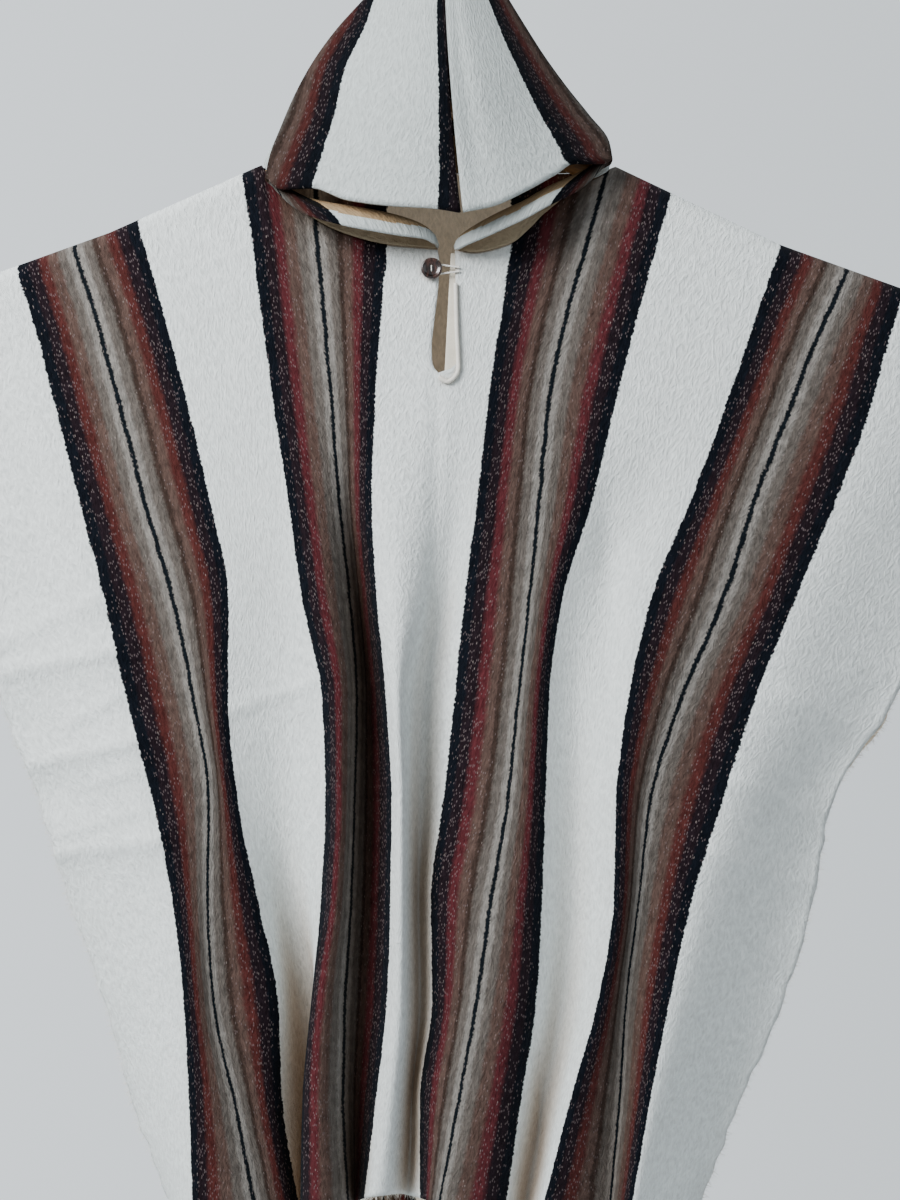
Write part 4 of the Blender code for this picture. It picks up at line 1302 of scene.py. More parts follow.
@dataclass
class FrontPiece(ClothPiece):
    """Front body piece with its neckline and slit."""

    half_columns: int = 107
    slit_rows: int = 34
    lower_rows: int = 170
    edge_lines: list[tuple[np.ndarray, np.ndarray]] = field(default_factory=list)

    def build(self) -> bpy.types.Object:
        """Make the piece from two blocks that join below the slit.

        Returns:
            The cloth wall.
        """
        drape = self.drape
        upper = drape.slit_end * np.linspace(0, 1, self.slit_rows + 1) ** 1.25
        lower = drape.slit_end + (1 - drape.slit_end) * np.linspace(0, 1, self.lower_rows + 1)[1:]
        rows = np.concatenate((upper, lower))
        spread = np.linspace(0, 1, self.half_columns + 1)
        grid = ClothGrid()
        blocks = {}
        for side in Side:
            lines = side.value * drape.half_width * spread
            sections = np.stack([drape.front_column(u, rows, side) for u in lines], axis=1)
            world = drape.placed(sections[..., 0], sections[..., 1], sections[..., 2], True)
            nearest = -drape.seam_half - drape.cloth * drape.seam_clear
            world[..., 1] = np.minimum(world[..., 1], nearest)
            down = np.broadcast_to((rows * 1000.0)[:, None], world.shape[:-1])
            across = np.broadcast_to(lines[None, :], world.shape[:-1])
            blocks[side] = (world, np.stack((across, down), axis=-1))
        left = grid.add(*blocks[Side.LEFT])
        world, places = blocks[Side.RIGHT]
        right = grid.add(world, places)
        right[self.slit_rows :, 0] = left[self.slit_rows :, 0]
        grid.skin(left, flip=True)
        grid.skin(right)
        for side in Side:
            world = blocks[side][0]
            self.edge_lines.append((world[:, -1], self.outward(world[:, -1] - world[:, -2])))
            self.edge_lines.append((world[-1], self.outward(world[-1] - world[-2])))
        made = self.thicken("poncho_front", grid, drape.cloth)
        drop_loose(made.data)
        keep_side(made.data, -drape.seam_half * MM)
        LOG.info("%s: %d faces", made.name, len(made.data.polygons))
        return made

    @staticmethod
    def outward(ways: np.ndarray) -> np.ndarray:
        """Unit vectors of the given directions."""
        return ways / np.maximum(np.linalg.norm(ways, axis=-1, keepdims=True), 1e-9)


@dataclass
class BackPiece(ClothPiece):
    """Back body piece."""

    columns: int = 130
    rows: int = 120
    edge_lines: list[tuple[np.ndarray, np.ndarray]] = field(default_factory=list)

    def build(self) -> bpy.types.Object:
        """Make the piece.

        Returns:
            The cloth wall.
        """
        drape = self.drape
        rows = np.linspace(0, 1, self.rows + 1) ** 1.12
        lines = np.linspace(-drape.half_width, drape.half_width, self.columns + 1)
        sections = np.stack([drape.back_column(u, rows) for u in lines], axis=1)
        world = drape.placed(sections[..., 0], sections[..., 1], sections[..., 2], True)
        nearest = drape.seam_half + drape.cloth * drape.seam_clear
        world[..., 1] = np.maximum(world[..., 1], nearest)
        down = np.broadcast_to((rows * 1000.0)[:, None], world.shape[:-1])
        across = np.broadcast_to(lines[None, :], world.shape[:-1])
        grid = ClothGrid()
        grid.skin(grid.add(world, np.stack((across, down), axis=-1)), flip=True)
        edges = ((world[:, 0], world[:, 1]), (world[:, -1], world[:, -2]), (world[-1], world[-2]))
        for edge, inner in edges:
            self.edge_lines.append((edge, FrontPiece.outward(edge - inner)))
        made = self.thicken("poncho_back", grid, drape.cloth)
        keep_side(made.data, drape.seam_half * MM)
        LOG.info("%s: %d faces", made.name, len(made.data.polygons))
        return made


def drop_loose(mesh: bpy.types.Mesh) -> None:
    """Remove vertices that no face uses."""
    work = bmesh.new()
    work.from_mesh(mesh)
    bmesh.ops.delete(work, geom=[v for v in work.verts if not v.link_faces], context="VERTS")
    work.to_mesh(mesh)
    work.free()


def keep_side(mesh: bpy.types.Mesh, limit: float) -> None:
    """Keep a mesh on its side of the shoulder seam's plane.

    Args:
        mesh: Mesh to change.
        limit: Depth that it doesn't pass, negative for the front.
    """
    places = np.empty(len(mesh.vertices) * 3)
    mesh.vertices.foreach_get("co", places)
    depth = places[1::3]
    places[1::3] = np.minimum(depth, limit) if limit < 0 else np.maximum(depth, limit)
    mesh.vertices.foreach_set("co", places)
    mesh.update()


@dataclass
class HoodHalf(ClothPiece):
    """One half of the hood: front face, turned-down lip, side and back in one piece of cloth."""

    side: Side = Side.LEFT
    rim_middle_y: float = -84.0
    lower_rim_y: float = -64.0
    peak_z: float = -75.0
    peak_hole: float = 4.2
    lip_crest: float = 30.0
    hem_band: float = 11.0
    thick: float = 3.7
    single: float = 0.62
    face_cells: int = 48
    wall_cells: int = 36
    lip_cells: int = 42
    seam_start: float = -150.0
    seam_end: float = -344.0
    seam_shift: float = 14.0
    cut_rim: float = 345.0
    cut_depth: float = 300.0
    cut_neck: float = 250.0
    neck_run: float = 315.0
    corner_z: float = -313.0
    least_warp: float = 157.0
    forward_rise: float = 6.0
    rise_end: float = 0.35
    bulge: float = 0.9
    roll_depth: float = 4.0
    roll_place: float = 0.86
    roll_width: float = 0.1
    ditch_depth: float = 1.8
    ditch_width: float = 3.5
    ripple: float = 0.8
    lip_foot: float = 3.0
    lip_lean: float = 4.0
    rim_points: np.ndarray | None = None
    rim_inward: np.ndarray | None = None

    FOLD = {
        Side.LEFT: (
            # x, z, y
            (-161, -313, -42),
            (-157, -294, -37),
            (-147, -268, -31),
            (-134, -238, -26),
            (-118, -209, -22),
            (-97, -180, -17),
            (-70, -150, -12),
            (-38, -112, -6),
            (-4.2, -75, 0),
        ),
        Side.RIGHT: (
            (150, -296, -38),
            (147, -281, -34),
            (129, -257, -29),
            (109, -232, -26),
            (88, -203, -22),
            (72, -178, -17),
            (56, -152, -12),
            (32, -112, -6),
            (4.2, -75, 0),
        ),
    }
    UPPER = {
        Side.LEFT: (
            (-161, -313), (-148, -323), (-121, -322), (-88, -333), (-49, -338), (-13, -340), (14, -344),
        ),
        Side.RIGHT: (
            (150, -296), (145, -300), (117, -300), (100, -310), (71, -326), (44, -338), (14, -344),
        ),
    }
    LOWER = {
        Side.LEFT: (
            (-8, -373), (-18, -368), (-40, -365), (-64, -361),
            (-91, -356), (-127, -345), (-148, -329), (-161, -313),
        ),
        Side.RIGHT: (
            (10, -378), (18, -374), (37, -366), (57, -357),
            (76, -348), (91, -339.5), (122, -323), (150, -296),
        ),
    }
    CORNER = {Side.LEFT: (-147.0, -152.0, -157.0, -159.0), Side.RIGHT: (107.0, 112.5, 118.0, 120.0)}
    BACK = {
        Side.LEFT: (-157.0, -139.56, -122.11, -104.67, -87.22, -69.78, -52.33, -34.89, -17.44, 0.0),
        Side.RIGHT: (118.0, 104.89, 91.78, 78.67, 65.56, 52.44, 39.33, 26.22, 13.11, 0.0),
    }
    FOLD_WARP = {
        # height, warp line that lies on the fold there
        Side.LEFT: (
            (-344, 316), (-319, 320), (-288, 324), (-249, 326),
            (-211, 317), (-172, 311), (-153, 297), (-75, 262),
        ),
        Side.RIGHT: (
            (-344, 316), (-298, 316), (-288, 325), (-250, 327),
            (-216, 325), (-153, 323), (-75, 262),
        ),
    }
    SEAM_WARP = {
        # height, warp line that lies on the middle seam there
        Side.LEFT: (
            (-344, 150), (-338, 151), (-298, 158), (-249, 161), (-201, 163), (-153, 161), (-75, 158),
        ),
        Side.RIGHT: ((-344, 179), (-75, 179)),
    }
    # warp line, counted as on the body, of the cut edge of each half
    CUT_WARP = {Side.LEFT: 148.0, Side.RIGHT: 177.0}

    def seam_x(self, z: np.ndarray) -> np.ndarray:
        """Place of the middle seam on the front, in world mm."""
        part = (z - self.seam_start) / (self.seam_end - self.seam_start)
        return self.seam_shift * np.maximum(part, 0.0) ** 1.5

    def fold_line(self, part: np.ndarray | float) -> np.ndarray:
        """Points of the fold line, 0 at the face corner and 1 at the peak."""
        x, z, y = along_line(self.FOLD[self.side], part).T
        return self.drape.placed(x, y, z)

    def face_points(self, part: float, across: np.ndarray) -> np.ndarray:
        """Front of the hood at one height, from the fold line to the middle seam.

        Args:
            part: Share of the fold line, 0 at the face opening.
            across: Shares of the way to the seam.

        Returns:
            World points in mm.
        """
        x, z, y = along_line(self.FOLD[self.side], part)[0]
        start = np.array((x, y, z))
        upper = np.array(self.UPPER[self.side], float)
        height = upper[-1][1] + (self.peak_z - upper[-1][1]) * part
        forward = self.rim_middle_y + self.forward_rise * part
        if part > self.rise_end:
            full = self.rim_middle_y + self.forward_rise * self.rise_end
            back = (part - self.rise_end) / (1 - self.rise_end)
            forward = full + (-self.peak_hole - full) * back**1.6
        seam_x = float(self.seam_x(np.array(height))) + self.side.value * self.drape.seam_half
        seam = np.array((seam_x, forward, height))
        points = start + (seam - start) * across[:, None]
        bulge = np.sin(math.pi / 2 * across) - across
        points[:, 1] += (forward - y) * bulge * self.bulge
        rim = along_line(self.UPPER[self.side], across)
        straight = upper[0] + (upper[-1] - upper[0]) * across[:, None]
        fade = (1 - part) ** 3
        points[:, 0] += (rim[:, 0] - straight[:, 0]) * fade
        points[:, 2] += (rim[:, 1] - straight[:, 1]) * fade
        if self.side is Side.RIGHT:
            swell = math.sin(math.pi * min(part + 0.12, 1.0))
            roll = np.exp(-(((across - self.roll_place) / self.roll_width) ** 2))
            points[:, 1] += self.roll_depth * roll * swell
        away = (1 - across) * abs(x - seam_x)
        ditch = np.exp(-((away / self.ditch_width) ** 2)) * min(1.0, (1 - part) * 4)
        points[:, 1] += self.ditch_depth * ditch
        ripple = self.drape.broad.at(points[:, 0], points[:, 2])
        points[:, 1] += self.ripple * ripple * (1 - across) * across * 4
        return self.drape.placed(points[:, 0], points[:, 1], points[:, 2])

    def lip_column(self, foot: np.ndarray, part: float, up: np.ndarray) -> np.ndarray:
        """Turned-down front edge from the neckline up to the rim."""
        corner = self.fold_line(0.0)[0]
        x, z = along_line(self.LOWER[self.side], part)[0]
        swell = math.sin(math.pi * min(part * 1.12 + 0.02, 1.0)) ** 0.5
        start = foot[1] - self.lip_foot
        depth = start + (self.lower_rim_y - start) * swell
        if part > 0.5:
            depth = depth + (corner[1] - depth) * float(eased((part - 0.5) / 0.5))
        rim = self.drape.placed(x, depth, z)
        crest = self.lip_foot
        if 0 < part < 1:
            crest += self.lip_crest * math.sin(math.pi * part**0.7) ** 0.7
        lift = np.array((0.0, 0.0, crest))
        lean = np.array((0.0, -self.lip_lean, 0.0)) * math.sin(math.pi * min(part, 1.0))
        return cubic(foot, foot + lift, rim + lift * 0.8 + lean, rim, up)

    def wall_column(self, foot: np.ndarray, top: np.ndarray, up: np.ndarray) -> np.ndarray:
        """Side or back of the hood from a foot on the neckline up to the fold line."""
        rise = (top - foot) * 0.25
        rise[1] = 2.0
        rise[2] += 10.0
        behind = np.array((0.0, 0.165, -0.24)) * float(np.linalg.norm(top - foot))
        return cubic(foot, foot + rise, top + behind, top, up)

    def feet(self) -> tuple[list[np.ndarray], list[np.ndarray], list[float], int]:
        """Feet of the lip and of the wall, with the place of each wall foot.

        Returns:
            Lip feet, wall feet, the wall feet's places in cells, and the number of cells.
        """
        drape = self.drape
        corner = self.CORNER[self.side]
        lines = np.linspace(0, corner[0], self.lip_cells + 1)
        lips = [drape.neck_point(u, Panel.FRONT, self.side) for u in lines]
        knots = [(u, Panel.FRONT) for u in (*corner, drape.neck_lines[self.side])]
        knots += [(u, Panel.BACK) for u in self.BACK[self.side]]
        cells = len(knots) - 2
        wall = []
        places = []
        for i, ((u, panel), (u_next, panel_next)) in enumerate(zip(knots, knots[1:])):
            for step in range(4):
                share = step / 4
                if panel is panel_next:
                    wall.append(drape.neck_point(u + (u_next - u) * share, panel, self.side))
                else:
                    here = drape.neck_point(u, panel, self.side)
                    there = drape.neck_point(u_next, panel_next, self.side)
                    wall.append(here + (there - here) * share)
                places.append(i + share)
        last = drape.neck_point(0.0, Panel.BACK, self.side)
        last[0] = self.side.value * drape.seam_half
        wall.append(last)
        places.append(cells + 1.0)
        return lips, wall, places, cells

    def build(self) -> bpy.types.Object:
        """Make the half.

        Returns:
            The cloth wall.
        """
        lips, feet, places, cells = self.feet()
        up = np.linspace(0, 1, self.wall_cells + 1)
        across = np.linspace(0, 1, self.face_cells + 1)
        peak = self.drape.placed(0.0, self.peak_hole, self.peak_z)
        peak[0] = self.side.value * self.drape.seam_half
        columns = []
        marks = []
        bands = []
        span = feet[0][0] - lips[0][0]
        corner_s = self.fold_s(self.corner_z)
        run = 0.0
        before = lips[0]
        for foot in lips[:-1]:
            run += float(np.linalg.norm(foot - before))
            before = foot
            part = (foot[0] - lips[0][0]) / span
            column = self.lip_column(foot, part, up)
            columns.append(column)
            rim = np.array((self.cut_rim - (self.cut_rim - corner_s) * part**0.93, 0.0))
            marks.append(self.foot_mark(run)[None, :] * (1 - up[:, None]) + rim[None, :] * up[:, None])
            bands.append(self.band(column))
        fold_parts = []
        for foot, place in zip(feet, places):
            run += float(np.linalg.norm(foot - before))
            before = foot
            part = min(place / cells, 1.0)
            top = self.fold_line(part)[0]
            if place > cells:
                top = top + (peak - top) * (place - cells)
            fold_parts.append(part)
            columns.append(self.wall_column(foot, top, up))
            height = float(along_line(self.FOLD[self.side], part)[0][1])
            fold = np.array((self.fold_s(height), self.cut_depth * part))
            marks.append(self.foot_mark(run)[None, :] * (1 - up[:, None]) + fold[None, :] * up[:, None])
            bands.append(np.zeros(len(up)))
        grid = ClothGrid()
        world = np.stack(columns, axis=1)
        cloth = np.stack(marks, axis=1)
        cloth[..., 0] = self.body_warp(cloth[..., 0])
        wall = grid.add(world, cloth)
        last = int(np.searchsorted(places, cells))
        face_world = np.stack([self.face_points(p, across) for p in fold_parts[: last + 1]], axis=0)
        face_cloth = np.stack([self.face_marks(p, across) for p in fold_parts[: last + 1]], axis=0)
        face = grid.add(face_world, face_cloth)
        first = len(lips) - 1
        face[:, 0] = wall[-1, first : first + last + 1]
        grid.skin(wall, flip=self.side is Side.RIGHT)
        grid.skin(face, flip=self.side is Side.LEFT)
        rise = np.linalg.norm(face_world - face_world[0][None], axis=-1)
        face_band = 1 - eased((rise - self.hem_band + 2) / 3)
        band = np.concatenate((np.stack(bands, axis=1).ravel(), face_band.ravel()))
        lip = np.zeros((len(up), len(columns)))
        lip[:, : first + 1] = 1.0
        lip = np.concatenate((lip.ravel(), np.zeros(face_band.size)))
        self.rim_points = world[-1, : first + 1]
        self.rim_inward = FrontPiece.outward(world[-3, : first + 1] - world[-1, : first + 1])
        made = self.thicken("poncho_hood_" + self.side.word, grid, self.thick, band, self.single, lip)
        drop_loose(made.data)
        self.keep_seam(made.data)
        LOG.info("%s: %d faces", made.name, len(made.data.polygons))
        return made

    def band(self, column: np.ndarray) -> np.ndarray:
        """Hem band down one column: 1 at the rim, 0 beyond the band."""
        away = np.linalg.norm(column - column[-1], axis=1)
        return 1 - eased((away - self.hem_band + 2) / 3)

    def fold_s(self, height: float) -> float:
        """Cut coordinate along the rim of the fold line at a height."""
        warp = float(read_off(self.FOLD_WARP[self.side], height)[0])
        return warp - self.CUT_WARP[self.side]

    def foot_mark(self, run: float) -> np.ndarray:
        """Cut coordinates of the neck edge after a run along the neckline."""
        share = min(run / self.neck_run, 1.0)
        across = self.cut_rim + (self.cut_neck - self.cut_rim) * share
        return np.array((across, self.cut_depth * share))

    def body_warp(self, s: np.ndarray) -> np.ndarray:
        """Warp line, counted as on the body, of a cut coordinate of the hood."""
        warp = s + self.CUT_WARP[self.side]
        return np.maximum(warp, self.least_warp) if self.side is Side.LEFT else warp

    def face_marks(self, part: float, across: np.ndarray) -> np.ndarray:
        """Cloth coordinates of the front face at one height."""
        height = float(along_line(self.FOLD[self.side], part)[0][1])
        fold = float(read_off(self.FOLD_WARP[self.side], height)[0])
        seam = float(read_off(self.SEAM_WARP[self.side], height)[0])
        down = np.full_like(across, self.cut_depth * part)
        return np.stack((fold + (seam - fold) * across, down), axis=-1)

    def keep_seam(self, mesh: bpy.types.Mesh) -> None:
        """Keep the half on its side of the middle seam."""
        places = np.empty(len(mesh.vertices) * 3)
        mesh.vertices.foreach_get("co", places)
        x, y, z = places[0::3], places[1::3], places[2::3]
        sign = self.side.value
        edge = np.where(y < 0, self.seam_x(z / MM), 0.0) + sign * self.drape.seam_half
        near = (z / MM > -335) | (y > 0) | (y < -0.07)
        over = near & (sign * (x / MM - edge) < 0)
        places[0::3] = np.where(over, edge * MM, x)
        mesh.vertices.foreach_set("co", places)
        mesh.update()


@dataclass
class LipStitches:
    """Zigzag thread that holds the turned hem of the face opening."""

    pitch: float = 1.7
    width: float = 4.6
    radius: float = 0.26
    inset: float = 5.5
    stand: float = 2.0

    def tree(self, look: bpy.types.Material) -> bpy.types.NodeTree:
        """Node tree that lays a zigzag thread along the edges of a mesh.

        Args:
            look: Material of the thread.

        Returns:
            The tree, with the sizes as its named inputs.
        """
        graph = EdgeTree("zigzag_thread", ("Pitch", "Width", "Radius"))
        entry = graph.sizes
        number = graph.add("GeometryNodeInputIndex").outputs[0]
        odd = graph.add(MATH, {0: number, 1: 2.0}, operation="MODULO").outputs[0]
        swing = graph.add(MATH, {0: odd, 1: 0.5}, operation="SUBTRACT").outputs[0]
        reach = graph.add(MATH, {0: swing, 1: entry["Width"]}, operation="MULTIPLY").outputs[0]
        offset = graph.add(
            "ShaderNodeVectorMath", {0: graph.outward, "Scale": reach}, operation="SCALE"
        ).outputs[0]
        zigzag = graph.add("GeometryNodeSetPosition", {"Geometry": graph.even, "Offset": offset}).outputs[0]
        ring = graph.add(
            "GeometryNodeCurvePrimitiveCircle", {"Resolution": 6, "Radius": entry["Radius"]}
        ).outputs[0]
        thread = graph.add(
            "GeometryNodeCurveToMesh", {"Curve": zigzag, "Profile Curve": ring, "Fill Caps": True}
        ).outputs[0]
        return graph.close(thread, look)

    def build(self, hood: HoodHalf, look: bpy.types.Material) -> bpy.types.Object:
        """Stitch the hem of one hood half.

        Args:
            hood: Built half, which knows its rim.
            look: Material of the thread.

        Returns:
            The finished object.
        """
        name = "hem_zigzag_" + hood.side.word
        points = hood.rim_points[2:-1]
        inward = hood.rim_inward[2:-1]
        along = FrontPiece.outward(np.gradient(points, axis=0))
        normal = FrontPiece.outward(np.cross(along, inward))
        normal *= np.sign(normal[:, 1:2] + 1e-9)
        places = (points + inward * self.inset + normal * self.stand) * MM
        mesh = bpy.data.meshes.new(name)
        mesh.from_pydata(places.tolist(), [(i, i + 1) for i in range(len(places) - 1)], [])
        attribute = mesh.attributes.new("outward", "FLOAT_VECTOR", "POINT")
        attribute.data.foreach_set("vector", inward.ravel())
        made = add_object(name, mesh, look)
        sizes = {"Pitch": self.pitch * MM, "Width": self.width * MM, "Radius": self.radius * MM}
        run_tree(made, self.tree(look), sizes)
        LOG.info("%s: %d faces", made.name, len(made.data.polygons))
        return made


@dataclass(frozen=True)
class Cord:
    """Round or plied cord that is swept along points."""

    radius: float
    plies: int = 0
    twist: float = 0.0
    depth: float = 0.0
    ring: int = 16

    def mesh(self, name: str, places: np.ndarray, steps: int) -> bpy.types.Mesh:
        """Sweep the cord.

        Args:
            name: Name of the mesh.
            places: World points in mm.
            steps: Rings along the cord.

        Returns:
            A closed mesh in metres.
        """
        line = along_line(places, np.linspace(0, 1, steps + 1))
        ways = FrontPiece.outward(np.gradient(line, axis=0))
        run = np.concatenate(([0.0], np.cumsum(np.linalg.norm(np.diff(line, axis=0), axis=1))))
        side = np.cross(ways[0], (0.31, 0.17, 0.93))
        angles = np.linspace(0, 2 * math.pi, self.ring, endpoint=False)
        verts = []
        for point, way, at in zip(line, ways, run):
            side = side - way * float(np.dot(side, way))
            side = side / np.linalg.norm(side)
            other = np.cross(way, side)
            radius = np.full(self.ring, self.radius)
            if self.plies:
                wave = np.abs(np.cos(0.5 * self.plies * angles + self.twist * at))
                radius = self.radius * (1 - self.depth * (1 - wave))
            spokes = np.cos(angles)[:, None] * side + np.sin(angles)[:, None] * other
            verts += list(point + radius[:, None] * spokes)
        faces = []
        for i in range(len(line) - 1):
            low, high = i * self.ring, (i + 1) * self.ring
            for j in range(self.ring):
                k = (j + 1) % self.ring
                faces.append((low + j, low + k, high + k, high + j))
        faces.append(tuple(reversed(range(self.ring))))
        faces.append(tuple((len(line) - 1) * self.ring + j for j in range(self.ring)))
        made = bpy.data.meshes.new(name)
        made.from_pydata((np.array(verts) * MM).tolist(), [], faces)
        return made


@dataclass
class SlitTrim:
    """Facing that underlaps the slit, and the rolled binding of its right edge."""

    drape: Drape
    top: float = -381.0
    foot: float = -492.0
    left_top: float = 5.2
    left_foot: float = -0.5
    right: float = 21.0
    thick: float = 1.6
    binding_radius: float = 1.9
    line: Table = (
        (9.5, -408), (10, -430), (10.5, -450), (11.5, -470),
        (12, -484), (8, -493), (1.5, -496.5), (-5, -492),
    )

    def build_facing(self, look: bpy.types.Material) -> bpy.types.Object:
        """Strip of plain wool behind the slit's right edge."""
        down = np.linspace(0, 1, 45)
        over = np.linspace(0, 1, 9)
        behind = self.drape.cloth_room + self.drape.seam_gap + self.thick / 2 + 0.5
        points = np.empty((len(down), len(over), 3))
        for i, part in enumerate(down):
            z = self.top + (self.foot - self.top) * part
            left = self.left_top + (self.left_foot - self.left_top) * part
            for j, share in enumerate(over):
                x = left + (self.right - left) * share
                points[i, j] = self.drape.placed(x, self.drape.front_y(x, z) + behind, z)
        grid = ClothGrid()
        grid.skin(grid.add(points, points[..., [0, 2]]))
        made = add_object("facing_strip", grid.mesh("facing_strip"), look)
        wall = made.modifiers.new("Wall", "SOLIDIFY")
        wall.thickness = self.thick * MM
        wall.offset = 0.0
        round_over = made.modifiers.new("Round", "BEVEL")
        round_over.width = 0.0005
        round_over.segments = 2
        evaluated(made)
        return made

    def build_binding(self, look: bpy.types.Material) -> bpy.types.Object:
        """Rolled binding along the slit's right edge and round its foot."""
        front = self.drape.cloth_room + self.drape.seam_gap + self.binding_radius + 0.1
        places = []
        for x, z in along_line(self.line, np.linspace(0, 1, 24)):
            places.append(self.drape.placed(x, self.drape.front_y(x, z) - front, z))
        cord = Cord(self.binding_radius, plies=3, twist=0.9, depth=0.10)
        return add_object("rolled_binding", cord.mesh("rolled_binding", np.array(places), 150), look)


@dataclass
class ButtonSet:
    """Button with its thread and the cord loop that holds it."""

    drape: Drape
    place: tuple[float, float] = (-12.0, -396.0)
    radius: float = 9.5
    thick: float = 3.6
    hole: float = 1.2
    hole_step: float = 2.2
    stand: float = 3.4
    thread_radius: float = 0.6
    loop_radius: float = 0.9
    loop_half: float = 4.2
    loop_end: float = 13.0
    segments: int = 72

    def centre(self, stand_off: float) -> np.ndarray:
        """World point over the cloth at the button's place."""
        x, z = self.place
        point = self.drape.placed(x, self.drape.front_y(x, z), z)
        point[1] -= self.drape.cloth_room + stand_off
        return point

    @staticmethod
    def mend(mesh: bpy.types.Mesh, merge: float = 0.0) -> None:
        """Turn the faces outwards, and first merge points that are nearer than a distance."""
        work = bmesh.new()
        work.from_mesh(mesh)
        if merge:
            bmesh.ops.remove_doubles(work, verts=work.verts, dist=merge)
        bmesh.ops.recalc_face_normals(work, faces=work.faces)
        work.to_mesh(mesh)
        work.free()

    def build_button(self, look: bpy.types.Material) -> bpy.types.Object:
        """Turn the button, with a raised rim, a dished middle and two holes."""
        r, t = self.radius, self.thick
        profile = [
            (0.0, 0.0), (r * 0.70, 0.0), (r * 0.86, t * 0.08), (r * 0.96, t * 0.32), (r, t * 0.6),
            (r * 0.985, t * 0.78), (r * 0.94, t * 0.93), (r * 0.88, t), (r * 0.80, t * 0.985),
            (r * 0.73, t * 0.88), (r * 0.64, t * 0.74), (r * 0.5, t * 0.66), (r * 0.25, t * 0.63),
            (0.0, t * 0.62),
        ]
        edges = [(i, i + 1) for i in range(len(profile) - 1)]
        mesh = bpy.data.meshes.new("button_blank")
        mesh.from_pydata([(a * MM, 0.0, h * MM) for a, h in profile], edges, [])
        made = add_object("turned_button", mesh, look)
        turn = made.modifiers.new("Turn", "SCREW")
        turn.steps = self.segments
        turn.render_steps = self.segments
        turn.use_merge_vertices = True
        turn.merge_threshold = 0.00001
        turn.use_normal_calculate = True
        evaluated(made)
        self.mend(made.data, 1e-5)
        for step in (-1, 1):
            bpy.ops.mesh.primitive_cylinder_add(
                vertices=24,
                radius=self.hole * MM,
                depth=3 * t * MM,
                location=(0.0, step * self.hole_step * MM, t / 2 * MM),
            )
            drill = bpy.context.object
            cut = made.modifiers.new("Hole", "BOOLEAN")
            cut.solver = "EXACT"
            cut.operation = "DIFFERENCE"
            cut.object = drill
            evaluated(made)
            bpy.data.objects.remove(drill)
        middle = self.centre(self.stand) * MM
        for vert in made.data.vertices:
            x, y, z = vert.co
            vert.co = (middle[0] + x, middle[1] - z, middle[2] + y)
        self.mend(made.data)
        made.data.materials.clear()
        made.data.materials.append(look)
        made.data.polygons.foreach_set("use_smooth", [True] * len(made.data.polygons))
        made.data.set_sharp_from_angle(angle=math.radians(40))
        return made

    def build_thread(self, look: bpy.types.Material) -> bpy.types.Object:
        """Thread through the button's two holes, from cloth to face and back."""
        back = self.centre(self.drape.seam_gap + 0.2)
        front = self.centre(self.stand + self.thick * 0.68 + self.thread_radius + 0.25)
        step, bend = self.hole_step, 0.5
        places = [
            (back[0], back[1], back[2] - step),
            (back[0], front[1] + bend, back[2] - step),
            (back[0], front[1] + bend * 0.3, back[2] - step + bend * 0.3),
            (back[0], front[1], back[2] - step + bend),
            (back[0], front[1], back[2] + step - bend),
            (back[0], front[1] + bend * 0.3, back[2] + step - bend * 0.3),
            (back[0], front[1] + bend, back[2] + step),
            (back[0], back[1], back[2] + step),
        ]
        cord = Cord(self.thread_radius, plies=2, twist=1.6, depth=0.22, ring=12)
        return add_object("button_stitch", cord.mesh("button_stitch", np.array(places), 70), look)

    def build_loop(self, look: bpy.types.Material) -> bpy.types.Object:
        """Cord loop from the slit's right edge round the button's thread."""
        x, z = self.place
        centre = self.centre(self.drape.seam_gap + self.loop_radius + 0.15)
        strand = []
        for i in range(7):
            along = (self.loop_end - x) * (1 - i / 7)
            strand.append((along, self.loop_half * min(1.0, 0.42 + 0.12 * i)))
        turn = [math.pi / 2 + math.pi * i / 8 for i in range(9)]
        offsets = strand + [(self.loop_half * math.cos(a), self.loop_half * math.sin(a)) for a in turn]
        offsets += [(dx, -dz) for dx, dz in reversed(strand)]
        places = []
        for dx, dz in offsets:
            forward = min(self.drape.front_y(x + dx, z + dz) - self.drape.front_y(x, z), 0.0)
            places.append(centre + np.array((dx, forward, dz)))
        cord = Cord(self.loop_radius, plies=2, twist=1.15, depth=0.25, ring=14)
        return add_object("cord_loop", cord.mesh("cord_loop", np.array(places), 150), look)


@dataclass(frozen=True)
class Lamp:
    """Soft square light.

    Places are in metres, the power in watts, and the tint is a hex code.
    """

    name: str
    place: tuple[float, float, float]
    aim: tuple[float, float, float]
    size: float
    power: float
    tint: str

    def hang(self) -> None:
        """Put the light in the scene, facing its aim."""
        lamp = bpy.data.lights.new(self.name, "AREA")
        lamp.size = self.size
        lamp.spread = math.pi
        lamp.energy = self.power
        lamp.color = rgb(self.tint)[:3]
        holder = bpy.data.objects.new(self.name, lamp)
        holder.location = self.place
        ways = np.subtract(self.aim, self.place)
        flat = math.hypot(ways[0], ways[1])
        holder.rotation_euler = (math.atan2(flat, -ways[2]), 0.0, math.atan2(-ways[0], ways[1]))
        bpy.context.scene.collection.objects.link(holder)


